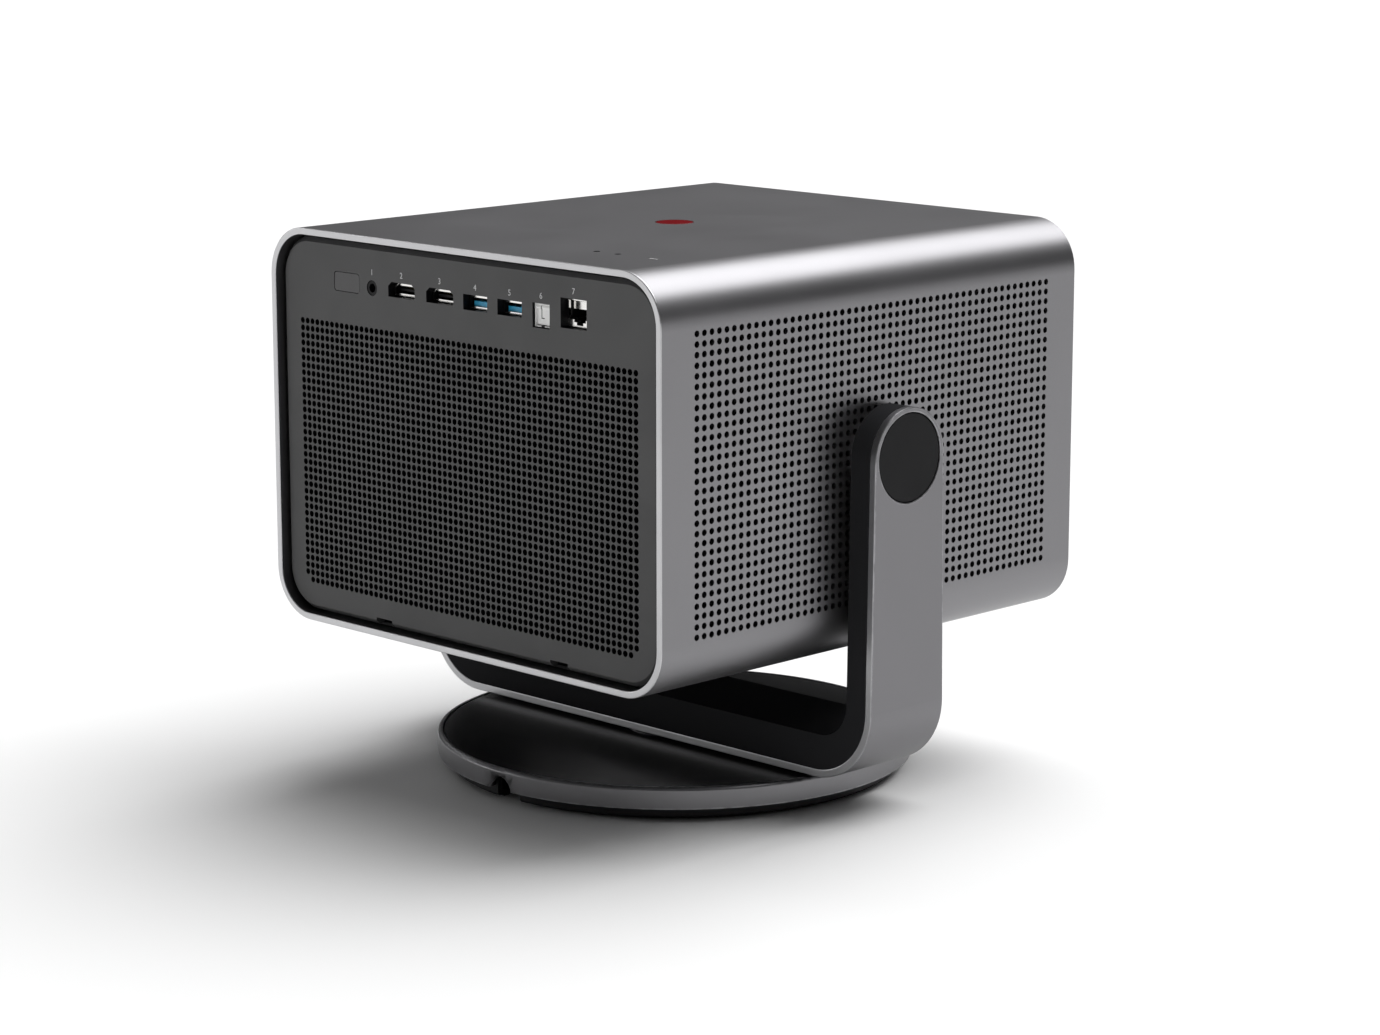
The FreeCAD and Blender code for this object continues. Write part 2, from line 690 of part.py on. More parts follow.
def sleeve_housing():
    """Aluminium sleeve of the head: a rounded tube, perforated on both sides, open at both ends."""
    body = head_body("sleeve_housing")
    wall = D.sleeve_wall
    outside = new_sketch(body, "XZ")
    rounded_rectangle(outside, D.head_width, D.head_height, D.sleeve_corner)
    pad(body, outside, D.head_depth, BOTH)
    inside = new_sketch(body, "XZ")
    rounded_rectangle(inside, D.head_width - 2 * wall, D.head_height - 2 * wall, D.sleeve_corner - wall)
    pocket_through(body, inside)
    bevel_edges(body, D.lip_chamfer, lambda edge: (
        along(edge, "x") and abs(middle(edge).y) > D.head_depth.value / 2 - SMALL
        and abs(middle(edge).z) > D.head_height.value / 2 - SMALL))
    side_grilles(body)
    axle_bosses(body)
    openings_in_top(body)


SIDE_COLUMNS, SIDE_ROWS = 11, 6


def side_grilles(body):
    """Rows of square holes through both sides, centred on the tilt axis."""
    first = new_sketch(body, "YZ")
    rectangle(first, D.hole_side, D.hole_side, -(SIDE_COLUMNS - 1) / 2 * D.side_pitch,
              -(SIDE_ROWS - 1) / 2 * D.side_pitch)
    hole = pocket_through(body, first)
    grid(body, hole, ("H_Axis", SIDE_COLUMNS, D.side_pitch), ("V_Axis", SIDE_ROWS, D.side_pitch))


def axle_bosses(body):
    """Plain round boss on each side, with the hole for the axle."""
    for side in (1, -1):
        disc = new_sketch(body, "YZ", INNER_X * side)
        circle(disc, D.boss_radius)
        pad(body, disc, D.sleeve_wall + D.boss_rise, side)
    hole = new_sketch(body, "YZ")
    circle(hole, D.axle_radius + 0.3)
    pocket_through(body, hole)


MICROPHONE_PLACES = (-45.6, -57.0)
MICROPHONE_SIDE = 2.0
LIGHT_X, LIGHT_WIDTH, LIGHT_DEPTH = -75.7, 5.2, 1.0


def openings_in_top(body):
    """Hole of the power button, two microphone holes and the slot of the status light."""
    top = new_sketch(body, "XY", D.head_height / 2 + 1)
    circle(top, D.button_radius + D.button_gap)
    for x in MICROPHONE_PLACES:
        rectangle(top, MICROPHONE_SIDE, MICROPHONE_SIDE, x, D.microphone_y)
    rectangle(top, LIGHT_WIDTH, LIGHT_DEPTH, LIGHT_X, D.microphone_y)
    pocket(body, top, 6, DOWN)


REAR_COLUMNS, REAR_ROWS = 13, 8
REAR_HOLLOW_HEIGHT = 114.0
PANEL_SLOTS = (47.7, -52.8)     # places of the two slots in the lower edge of the rear panel
SLOT_WIDTH = 9.6


def rear_panel():
    """Sunk rear panel with its skirt, its grille and a cut-out for each socket."""
    body = head_body("rear_panel")
    upright_plate(body, PANEL_FACE, PANEL_WIDTH + 2 * D.panel_flare, PANEL_HEIGHT + 2 * D.panel_flare,
                  D.panel_depth, PANEL_CORNER + D.panel_flare, DOWN)
    bevel_edges(body, D.panel_flare, lambda edge: (
        along(edge, "x") and middle(edge).y > PANEL_FACE.value - SMALL))
    hollow = new_sketch(body, "XZ", FRAME_FACE)
    rectangle(hollow, PANEL_WIDTH - 10, REAR_HOLLOW_HEIGHT, 0, -D.rear_grille_drop)
    pocket(body, hollow, D.panel_depth - D.panel_skin, UP)
    first = new_sketch(body, "XZ", PANEL_FACE + 1)
    rectangle(first, D.hole_side, D.hole_side, -(REAR_COLUMNS - 1) / 2 * D.rear_pitch,
              -D.rear_grille_drop - (REAR_ROWS - 1) / 2 * D.rear_pitch)
    hole = pocket(body, first, 10, DOWN)
    grid(body, hole, ("H_Axis", REAR_COLUMNS, D.rear_pitch), ("V_Axis", REAR_ROWS, D.rear_pitch))
    cuts = new_sketch(body, "XZ", PANEL_FACE + 1)
    gap = 2 * D.cutout_gap
    for step in range(2):
        rectangle(cuts, D.hdmi_width + gap, D.hdmi_height + gap, D.hdmi_x - D.hdmi_step * step, D.hdmi_z)
        rectangle(cuts, D.usb_width + gap, D.usb_height + gap, D.usb_x - D.usb_step * step, D.usb_z)
    rectangle(cuts, D.optical_side + gap, D.optical_side + gap, D.optical_x, D.optical_z)
    rectangle(cuts, D.lan_width + gap, D.lan_height + gap, D.lan_x, D.lan_z)
    rectangle(cuts, D.infrared_width + gap, D.infrared_height + gap, D.infrared_x, D.infrared_z)
    circle(cuts, AUDIO_RADIUS + D.cutout_gap, D.audio_x, D.audio_z)
    for x in PANEL_SLOTS:
        rectangle(cuts, SLOT_WIDTH, D.panel_flare + 0.6, x, -(PANEL_HEIGHT + D.panel_flare) / 2)
    pocket(body, cuts, 10, DOWN)


def rear_frame():
    """Frame behind the rear panel. It closes the shadow gap, with two slots in its lower edge."""
    body = head_body("rear_frame")
    upright_plate(body, FRAME_FACE, 2 * (INNER_X - D.fit_gap), 2 * (INNER_Z - D.fit_gap), D.frame_depth,
                  D.sleeve_corner - D.sleeve_wall - D.fit_gap, DOWN)
    opening = new_sketch(body, "XZ", FRAME_FACE + 1)
    rectangle(opening, D.frame_open_x, D.frame_open_z)
    for x in PANEL_SLOTS:
        rectangle(opening, SLOT_WIDTH, 2.2, x, -INNER_Z + 2.6)
    pocket(body, opening, 10, DOWN)


def front_bezel():
    """Carrier of the front glass, with the openings of the lens and the sensors."""
    body = head_body("front_bezel")
    skin, depth, border = 2.5, 8.0, 8.0
    back_of_glass = -PANEL_FACE + D.glass_thick
    upright_plate(body, back_of_glass, 2 * (INNER_X - D.fit_gap), 2 * (INNER_Z - D.fit_gap), depth,
                  D.sleeve_corner - D.sleeve_wall - D.fit_gap, UP)
    hollow = new_sketch(body, "XZ", back_of_glass + depth)
    rectangle(hollow, 2 * (INNER_X - border), 2 * (INNER_Z - border))
    pocket(body, hollow, depth - skin, DOWN)
    front_openings(body, back_of_glass - 1)


def dust_screens():
    """Thin black mesh behind the rear grille and behind both side grilles, open round the axles."""
    body = head_body("dust_screens")
    thick, over = 0.5, 4.0
    rear = new_sketch(body, "XZ", PANEL_FACE - D.panel_skin)
    rectangle(rear, REAR_COLUMNS * D.rear_pitch + over, REAR_HOLLOW_HEIGHT - 1, 0, -D.rear_grille_drop)
    pad(body, rear, thick, DOWN)
    side = new_sketch(body, "YZ", INNER_X)
    rectangle(side, 206, 118)
    circle(side, D.boss_radius + 0.5)
    mirrored(body, [pad(body, side, thick, DOWN)])


SENSOR_X, SENSOR_Z, SENSOR_WIDTH, SENSOR_HEIGHT = -52.0, 30.0, 40.0, 14.0


def front_openings(body, offset):
    cuts = new_sketch(body, "XZ", offset)
    circle(cuts, D.lens_hole, D.lens_x, D.lens_z)
    rectangle(cuts, SENSOR_WIDTH, SENSOR_HEIGHT, SENSOR_X, SENSOR_Z)
    pocket(body, cuts, 12, UP)


def front_glass():
    """Dark front glass, sunk as deep as the rear panel."""
    body = head_body("front_glass")
    upright_plate(body, -PANEL_FACE, PANEL_WIDTH, PANEL_HEIGHT, D.glass_thick, PANEL_CORNER, UP)
    front_openings(body, -PANEL_FACE - 1)


def sensor_window():
    """Smoked window over the camera and the distance sensor."""
    body = head_body("sensor_window", SENSOR_X, 0, SENSOR_Z)
    upright_plate(body, -PANEL_FACE, SENSOR_WIDTH - 0.2, SENSOR_HEIGHT - 0.2, 2.4, 4.0, UP)


def sensor_module():
    """Camera and distance sensor on their small board."""
    body = head_body("sensor_module", SENSOR_X, -PANEL_FACE + 12, SENSOR_Z)
    board = new_sketch(body, "XZ")
    rectangle(board, 46, 18)
    pad(body, board, D.board_thick, UP)
    eyes = new_sketch(body, "XZ")
    circle(eyes, 4.5, -11, 0)
    circle(eyes, 3.2, 9, 0)
    pad(body, eyes, 8, DOWN)


# Lens and light engine

def lens_piece(label):
    return head_body(label, D.lens_x, 0, D.lens_z)


def lens_ring():
    """Metal ring round the lens, coned inwards."""
    body = lens_piece("lens_ring")
    face = -PANEL_FACE - 1.4
    lengthwise_turned(body, [(D.lens_hole - 0.15, face + 0.6), (D.lens_hole - 0.15, face + 7),
                             (D.lens_hole - 2.6, face + 7), (25.2, face + 3.4), (28.4, face),
                             (D.lens_hole - 0.75, face)])


def turned_lens(body, aperture, front, back, bulge):
    """Lens turned about Y: a bulged front face, a straight rim and a flat back."""
    sketch = new_sketch(body, "XY")
    rim = as_size(front) + bulge
    radius = (aperture * aperture + bulge * bulge) / (2 * bulge)
    half_angle = math.asin(aperture / radius) / 2
    apex = FreeCAD.Vector(0, as_size(front).value, 0)
    halfway = apex + FreeCAD.Vector(math.sin(half_angle), 1 - math.cos(half_angle), 0) * radius
    rim_front = FreeCAD.Vector(aperture, rim.value, 0)
    rim_back = FreeCAD.Vector(aperture, as_size(back).value, 0)
    axis_back = FreeCAD.Vector(0, as_size(back).value, 0)
    face = sketch.addGeometry(Part.Arc(apex, halfway, rim_front))
    for start, end in ((rim_front, rim_back), (rim_back, axis_back), (axis_back, apex)):
        sketch.addGeometry(Part.LineSegment(start, end))
    for edge in range(face, face + 4):
        following = face + (edge - face + 1) % 4
        sketch.addConstraint(Sketcher.Constraint("Coincident", edge, 2, following, 1))
    fix_point(sketch, face, 1, 0, front)
    fix_point(sketch, face + 1, 1, aperture, rim)
    fix_point(sketch, face + 2, 1, aperture, back)
    fix_point(sketch, face + 3, 1, 0, back)
    sketch.addConstraint(Sketcher.Constraint("PointOnObject", face, 3, -2))
    revolve(body, sketch, "V_Axis")


def front_lens():
    """Bulged front lens."""
    turned_lens(lens_piece("front_lens"), 24.0, -PANEL_FACE + 1.6, -PANEL_FACE + 11.3, 4.6)


def lens_barrel():
    """Stepped barrel: seat of the front lens, bore of the focus carriage, flange on the engine."""
    body = lens_piece("lens_barrel")
    front = -PANEL_FACE + 5.8
    seat, bore, rear_bore = 24.1, D.barrel_bore, 15.1
    lengthwise_turned(body, [
        (seat, front), (28.2, front), (28.2, -72), (23.5, -66), (23.5, -42), (31.0, -42), (31.0, -38.2),
        (rear_bore, -38.2), (rear_bore, -58), (bore, -60), (bore, front + 5.5), (seat, front + 5.5)])


def focus_carriage():
    """Carriage that the focus motor slides along the barrel."""
    body = lens_piece("focus_carriage")
    outer = D.barrel_bore - D.slide_gap
    lengthwise_turned(body, [(17.1, -94), (outer, -94), (outer, -72), (17.1, -72)])


def focus_lens():
    """Lens in the focus carriage."""
    turned_lens(lens_piece("focus_lens"), 17.05, -90, -80, 3.0)


def rear_lens():
    """Last lens before the light engine."""
    turned_lens(lens_piece("rear_lens"), 15.05, -54, -45, 2.4)


def optical_engine():
    """Cast housing of the light engine, with its lid and cooling ribs."""
    body = head_body("optical_engine", 27, -4, 10)
    block = new_sketch(body, "XY", -34)
    rectangle(block, 86, 68)
    pad(body, block, 62, UP)
    bevel_edges(body, 6, lambda edge: along(edge, "z"))
    lid = new_sketch(body, "XY", 28)
    rectangle(lid, 78, 58)
    pad(body, lid, 3, UP)
    rib = new_sketch(body, "XY", 31)
    rectangle(rib, 2, 50, -30, 0)
    grid(body, pad(body, rib, 4, UP), ("H_Axis", 7, 10))
    posts = new_sketch(body, "XY", -34)
    for x in (-36, 36):
        for y in (-27, 27):
            rectangle(posts, 7, 7, x, y)
    pad(body, posts, 10 - 34 - TRAY_TOP, DOWN)


def laser_module():
    """Laser light source with its three windows and the snout towards the light engine."""
    body = head_body("laser_module", -42, 2, 4)
    block = new_sketch(body, "XY", -26)
    rectangle(block, 46, 56)
    pad(body, block, 52, UP)
    snout = new_sketch(body, "YZ", 22.5)
    rectangle(snout, 20, 20)
    pad(body, snout, 3.5, UP)
    windows = new_sketch(body, "XZ", -28)
    for x in (-14, 0, 14):
        circle(windows, 5, x, 0)
    pad(body, windows, 3, DOWN)


def heat_sink():
    """Fin stack between the light engine and the two fans."""
    body = head_body("heat_sink", 0, 30, -8)
    base = new_sketch(body, "XZ", 0)
    rectangle(base, 126, 100)
    pad(body, base, 3.6, UP)
    fin = new_sketch(body, "XY", -50)
    rectangle(fin, 0.9, 38, -60, 22.5)
    grid(body, pad(body, fin, 100, UP), ("H_Axis", 25, 5))


def heat_pipes():
    """Three flattened copper pipes from the laser up over the fin stack."""
    body = head_body("heat_pipes", -54)
    low, high, thick, width = 30.0, 42.0, 3.4, 8.0
    start, bend_low, bend_high, end = -22.0, 14.0, 24.0, 68.0
    side = new_sketch(body, "YZ")
    outline(side, [
        (start, low), (bend_low + 1, low), (bend_high + 1, high), (end, high), (end, high + thick),
        (bend_high - 1, high + thick), (bend_low - 1, low + thick), (start, low + thick)])
    pipe = pad(body, side, width, BOTH)
    pattern = body.newObject("PartDesign::LinearPattern", "Pattern")
    pattern.Originals = [pipe]
    pattern.Direction = (side, ["N_Axis"])
    pattern.Length = 24
    pattern.Occurrences = 3
    body.Tip = pattern


# Fans

FAN_X, FAN_Z, FAN_FRONT, FAN_DEPTH, FAN_SIDE = 33.0, -10.0, 77.0, 15.0, 60.0
FAN_BORE = 28.6


def fan_frames():
    """Frames of the two axial fans, each with a motor seat on four struts."""
    body = head_body("fan_frames", 0, FAN_FRONT, FAN_Z)
    square = new_sketch(body, "XZ")
    rectangle(square, FAN_SIDE, FAN_SIDE, FAN_X, 0)
    frame = pad(body, square, FAN_DEPTH, UP)
    bore = new_sketch(body, "XZ", -1)
    circle(bore, FAN_BORE, FAN_X, 0)
    cut = pocket(body, bore, FAN_DEPTH + 2, UP)
    seat = new_sketch(body, "XZ", FAN_DEPTH)
    circle(seat, 12.5, FAN_X, 0)
    motor = pad(body, seat, 2.2, DOWN)
    leg = new_sketch(body, "XZ")
    leg_length = -TRAY_TOP + FAN_Z - FAN_SIDE / 2
    rectangle(leg, 12, leg_length + 1, FAN_X, -FAN_SIDE / 2 - leg_length / 2 + 0.5)
    features = [frame, cut, motor, pad(body, leg, FAN_DEPTH, UP)]
    for width, height in ((2 * FAN_BORE + 2, 2.6), (2.6, 2 * FAN_BORE + 2)):
        strut = new_sketch(body, "XZ", FAN_DEPTH)
        rectangle(strut, width, height, FAN_X, 0)
        features.append(pad(body, strut, 2.2, DOWN))
    mirrored(body, features)


def fan_rotor(label, side):
    """Hub with seven pitched blades."""
    body = head_body(label, FAN_X * side, FAN_FRONT + 1.5, FAN_Z)
    hub, tip, depth, blades = 11.5, 27.4, 10.0, 7
    disc = new_sketch(body, "XZ")
    circle(disc, hub)
    pad(body, disc, depth, UP)
    blade = new_sketch(body, "YZ", hub - 1.2)
    low, high, half, thick = 0.8, depth - 0.6, 5.2, 1.1
    outline(blade, [(low, -half), (low + thick, -half), (high, half - thick), (high, half),
                    (high - thick, half), (low, -half + thick)])
    feature = pad(body, blade, tip - hub + 1.2, UP)
    pattern = body.newObject("PartDesign::PolarPattern", "Polar")
    pattern.Originals = [feature]
    pattern.Axis = (disc, ["N_Axis"])
    pattern.Angle = 360
    pattern.Occurrences = blades
    body.Tip = pattern


# Loudspeakers

SPEAKER_FACE, SPEAKER_Y, SPEAKER_Z = 98.0, -67.0, -26.0


def speaker_boxes():
    """Closed boxes of the two loudspeakers, one behind each side grille."""
    body = head_body("speaker_boxes", 0, SPEAKER_Y, SPEAKER_Z)
    depth, length, seat = 26.0, 60.0, 22.9
    height = 2 * (SPEAKER_Z - TRAY_TOP)
    side = new_sketch(body, "YZ", SPEAKER_FACE)
    rectangle(side, length, height)
    box = pad(body, side, depth, DOWN)
    bore = new_sketch(body, "YZ", SPEAKER_FACE)
    circle(bore, seat)
    cut = pocket(body, bore, depth - 2.5, DOWN)
    mirrored(body, [box, cut])


def speaker_drivers():
    """Two cone drivers: rim, cone, dust cap and magnet."""
    body = head_body("speaker_drivers", 0, SPEAKER_Y, SPEAKER_Z)
    face = SPEAKER_FACE
    feature = crosswise_turned(body, [
        (face - 18, 0), (face - 18, 13), (face - 11, 13), (face - 11, 9), (face, 21.5), (face, 26),
        (face + 2.5, 26), (face + 2.5, 22), (face + 0.8, 20), (face - 7, 9), (face - 4.5, 0)])
    mirrored(body, [feature])


# Frame and boards in the head

TRAY_TOP = -70.0
BRACKET_HALF = 17.0


def chassis_tray():
    """Steel tray on the floor of the sleeve, with turned-up sides, rails and posts for the power board."""
    body = head_body("chassis_tray")
    thick, lip, half_width, front, back = 2.0, 5.0, 101.0, -100.0, 104.0
    bottom = TRAY_TOP - thick
    sheet_metal = new_sketch(body, "XZ", front)
    outline(sheet_metal, [
        (-half_width, bottom), (half_width, bottom), (half_width, TRAY_TOP + lip),
        (half_width - thick, TRAY_TOP + lip), (half_width - thick, TRAY_TOP),
        (thick - half_width, TRAY_TOP), (thick - half_width, TRAY_TOP + lip), (-half_width, TRAY_TOP + lip)])
    pad(body, sheet_metal, back - front, UP)
    notches = new_sketch(body, "XY", TRAY_TOP)
    for side in (1, -1):
        rectangle(notches, 6, 2 * BRACKET_HALF + 2, (half_width - 1) * side, 0)
    pocket(body, notches, lip + 1, UP)
    rails = new_sketch(body, "XY", bottom)
    for side in (1, -1):
        rectangle(rails, 8, back - front, 84 * side, (back + front) / 2)
    pad(body, rails, INNER_Z + bottom, DOWN)
    posts = new_sketch(body, "XY", TRAY_TOP)
    for side_x in (1, -1):
        for side_y in (1, -1):
            rectangle(posts, 6, 6, (POWER_BOARD_WIDTH / 2 - 5) * side_x,
                      POWER_BOARD_Y + (POWER_BOARD_DEPTH / 2 - 5) * side_y)
    pad(body, posts, POWER_BOARD_LIFT, UP)


def pivot_brackets():
    """Two steel brackets that carry the axles up from the tray."""
    body = head_body("pivot_brackets")
    outer, thick, toe_depth, foot = INNER_X - 3.2, 3.0, 11.5, TRAY_TOP + 1.5
    side = new_sketch(body, "YZ", outer)
    rectangle(side, 2 * BRACKET_HALF, BRACKET_HALF - foot, 0, (BRACKET_HALF + foot) / 2)
    upright = pad(body, side, thick, DOWN)
    toe = new_sketch(body, "XY", TRAY_TOP)
    rectangle(toe, toe_depth, 2 * BRACKET_HALF, outer - 1.4 - toe_depth / 2, 0)
    flange = pad(body, toe, thick, UP)
    hole = new_sketch(body, "YZ", outer + 1)
    circle(hole, D.axle_radius + 0.1)
    mirrored(body, [upright, flange, pocket(body, hole, 8, DOWN)])


def tilt_axles():
    """Two flanged steel axles. Each passes through the sleeve into its arm."""
    body = head_body("tilt_axles")
    inside = INNER_X - 3.1
    feature = crosswise_turned(body, [
        (inside - 4.5, 0), (LINER_OUTER - 0.6, 0), (LINER_OUTER - 0.6, D.axle_radius - 0.8),
        (LINER_OUTER - 1.4, D.axle_radius), (inside + 3.0, D.axle_radius), (inside + 3.0, 14.5),
        (inside, 14.5), (inside, D.axle_radius), (inside - 4.5, D.axle_radius)])
    mirrored(body, [feature])


def friction_washers():
    """Two washers that hold the head where it is put."""
    body = head_body("friction_washers")
    inner, outer = SIDE_X + D.boss_rise, LINER_FACE - D.running_gap
    feature = crosswise_turned(body, [
        (inner, D.axle_radius + 0.05), (outer, D.axle_radius + 0.05), (outer, 13.5), (inner, 13.5)])
    mirrored(body, [feature])


def axle_nuts():
    """Nuts on the ends of the axles, under the caps."""
    body = head_body("axle_nuts")
    side = new_sketch(body, "YZ", LINER_OUTER - NUT_RECESS + D.running_gap)
    corners = [math.radians(60 * step) for step in range(6)]
    outline(side, [(NUT_RADIUS * math.cos(turn), NUT_RADIUS * math.sin(turn)) for turn in corners])
    circle(side, D.axle_radius)
    mirrored(body, [pad(body, side, NUT_THICK, UP)])


def main_board():
    """Main circuit board under the top. Sockets, processor and heat spreader hang on its underside,
    the microphones stand on its upper side, and four spacers hold it to the sleeve."""
    body = head_body("main_board", 0, 0, D.board_under)
    front, back = 40.0, 109.4
    sheet = new_sketch(body, "XY")
    rectangle(sheet, 172, back - front, 0, (front + back) / 2)
    pad(body, sheet, D.board_thick, UP)
    chips = new_sketch(body, "XY")
    rectangle(chips, 34, 34, 42, 66)
    for x in (-8, -30):
        rectangle(chips, 14, 11, x, 70)
    pad(body, chips, 3, DOWN)
    spreader = new_sketch(body, "XY", -3)
    rectangle(spreader, 2, 32, 28, 66)
    grid(body, pad(body, spreader, 6, DOWN), ("H_Axis", 8, 4))
    upper = new_sketch(body, "XY", D.board_thick)
    for x in MICROPHONE_PLACES:
        rectangle(upper, 4, 3, x, D.microphone_y)
    pad(body, upper, 1.2, UP)
    spacers = new_sketch(body, "XY", D.board_thick)
    for x in (-81, 81):
        for y in (46, 100):
            rectangle(spacers, 6, 6, x, y)
    pad(body, spacers, INNER_Z - D.board_under - D.board_thick, UP)


POWER_BOARD_WIDTH, POWER_BOARD_DEPTH, POWER_BOARD_Y, POWER_BOARD_LIFT = 128.0, 50.0, -70.0, 4.0


def power_board():
    """Power board on the tray, with its transformers and capacitors."""
    body = head_body("power_board", 0, POWER_BOARD_Y, TRAY_TOP + POWER_BOARD_LIFT)
    sheet = new_sketch(body, "XY")
    rectangle(sheet, POWER_BOARD_WIDTH, POWER_BOARD_DEPTH)
    pad(body, sheet, D.board_thick, UP)
    transformers = new_sketch(body, "XY", D.board_thick)
    rectangle(transformers, 32, 28, -38, 4)
    rectangle(transformers, 20, 18, 48, -10)
    pad(body, transformers, 20, UP)
    capacitors = new_sketch(body, "XY", D.board_thick)
    for x in (-8, 10, 28):
        circle(capacitors, 8, x, 10)
    pad(body, capacitors, 26, UP)


def top_board():
    """Small board for the switch of the power button, hung from the sleeve by two spacers."""
    body = head_body("top_board", 0, 0, D.board_under)
    sheet = new_sketch(body, "XY")
    rectangle(sheet, 24, 51, 0, 13.5)
    pad(body, sheet, D.board_thick, UP)
    spacers = new_sketch(body, "XY", D.board_thick)
    for x in (-8, 8):
        rectangle(spacers, 6, 6, x, 30)
    pad(body, spacers, INNER_Z - D.board_under - D.board_thick, UP)


def button_switch():
    """Tactile switch under the power button."""
    body = head_body("button_switch", 0, 0, D.board_under + D.board_thick)
    case = new_sketch(body, "XY")
    rectangle(case, 6, 6)
    pad(body, case, 2.6, UP)
    plunger = new_sketch(body, "XY", 2.6)
    circle(plunger, 1.7)
    pad(body, plunger, 1.0, UP)


def status_light():
    """Light guide of the status light."""
    bottom = D.board_under + D.board_thick
    body = head_body("status_light", LIGHT_X, D.microphone_y, bottom)
    guide = new_sketch(body, "XY")
    rectangle(guide, LIGHT_WIDTH - 0.1, LIGHT_DEPTH - 0.1)
    pad(body, guide, D.head_height / 2 - bottom - 0.1, UP)


def power_button():
    """Round button in the top, kept in by its flange."""
    body = head_body("power_button")
    top = D.head_height / 2
    under = INNER_Z - 0.15
    upright_turned(body, [
        (0, 73.7), (2.5, 73.7), (2.5, under - 1.2), (D.button_radius + 1.6, under - 1.2),
        (D.button_radius + 1.6, under), (D.button_radius, under), (D.button_radius, top - 0.3),
        (D.button_radius - 0.3, top), (0, top)])


# Sockets

AUDIO_RADIUS = 2.8
SOCKET_FRONT = 98.7


def hanging_socket(label, x, z, width, height, outline_of, wall=0.4):
    """Metal shell with its mouth, on a block that hangs on the main board. Returns the body, the
    shell's sketch and its features, for the socket's twin."""
    body = head_body(label, x, D.socket_rear, z)
    depth = D.socket_rear - SOCKET_FRONT
    shell = new_sketch(body, "XZ")
    outline(shell, outline_of(width, height))
    features = [pad(body, shell, depth, DOWN)]
    mouth = new_sketch(body, "XZ")
    outline(mouth, outline_of(width - 2 * wall, height - 2 * wall))
    features.append(pocket(body, mouth, depth - 2, DOWN))
    features.append(hanger(body, z, width - 3.6, height, depth))
    return body, shell, features


def hanger(body, z, width, height, depth):
    """Block between a socket's top and the board, set back behind the panel."""
    room = D.board_under - z - as_size(height) / 2
    block = new_sketch(body, "XZ", -4)
    rectangle(block, width, room, 0, as_size(height) / 2 + room / 2)
    return pad(body, block, depth - 4, DOWN)


def repeat(body, features, sketch, step):
    pattern = body.newObject("PartDesign::LinearPattern", "Pattern")
    pattern.Originals = features
    pattern.Direction = (sketch, ["H_Axis"])
    pattern.Reversed = True
    bind(pattern, "Length", step)
    pattern.Occurrences = 2
    body.Tip = pattern


def box_corners(width, height):
    half_width, half_height = as_size(width) / 2, as_size(height) / 2
    return [(-half_width, -half_height), (half_width, -half_height), (half_width, half_height),
            (-half_width, half_height)]


def cut_corners(width, height):
    """The display socket narrows towards its upper edge, which is the one at the board."""
    half_width, half_height = as_size(width) / 2, as_size(height) / 2
    cut = 1.6
    return [(-half_width, -half_height), (half_width, -half_height), (half_width, half_height - cut),
            (half_width - cut - 0.4, half_height), (cut + 0.4 - half_width, half_height),
            (-half_width, half_height - cut)]


def hdmi_sockets():
    """Two display sockets, each a metal shell with a flat tongue."""
    body, shell, features = hanging_socket("hdmi_sockets", D.hdmi_x, D.hdmi_z, D.hdmi_width,
                                           D.hdmi_height, cut_corners, 0.5)
    tongue = new_sketch(body, "XZ", -1.5)
    rectangle(tongue, 10.6, 1.1, 0, -0.35)
    features.append(pad(body, tongue, 9, DOWN))
    repeat(body, features, shell, D.hdmi_step)


def usb_sockets():
    """Two data sockets."""
    body, shell, features = hanging_socket("usb_sockets", D.usb_x, D.usb_z, D.usb_width,
                                           D.usb_height, box_corners)
    repeat(body, features, shell, D.usb_step)


def usb_tongues():
    """Coloured tongues in the lower half of the two data sockets."""
    body = head_body("usb_tongues", D.usb_x, D.socket_rear, D.usb_z)
    tongue = new_sketch(body, "XZ", -1.2)
    rectangle(tongue, 10.8, 1.9, 0, -0.9)
    repeat(body, [pad(body, tongue, 8.9, DOWN)], tongue, D.usb_step)


def lan_socket():
    """Network socket: a shell with a stepped mouth for the plug's latch, and the contact comb."""
    body = head_body("lan_socket", D.lan_x, D.socket_rear, D.lan_z)
    depth = D.socket_rear - SOCKET_FRONT
    shell = new_sketch(body, "XZ")
    rectangle(shell, D.lan_width, D.lan_height)
    pad(body, shell, depth, DOWN)
    low, shelf, step, high = -4.5, -3.4, -2.4, 4.5
    wide, middle_width, narrow = 5.95, 3.05, 1.65
    mouth = new_sketch(body, "XZ")
    outline(mouth, [(-narrow, low), (narrow, low), (narrow, shelf), (middle_width, shelf),
                    (middle_width, step), (wide, step), (wide, high), (-wide, high), (-wide, step),
                    (-middle_width, step), (-middle_width, shelf), (-narrow, shelf)])
    pocket(body, mouth, depth - 2, DOWN)
    comb = new_sketch(body, "XZ", -8)
    rectangle(comb, 8.5, 2.0, 0, high - 1.3)
    pad(body, comb, 2.2, DOWN)
    hanger(body, D.lan_z, D.lan_width - 3.6, D.lan_height, depth)


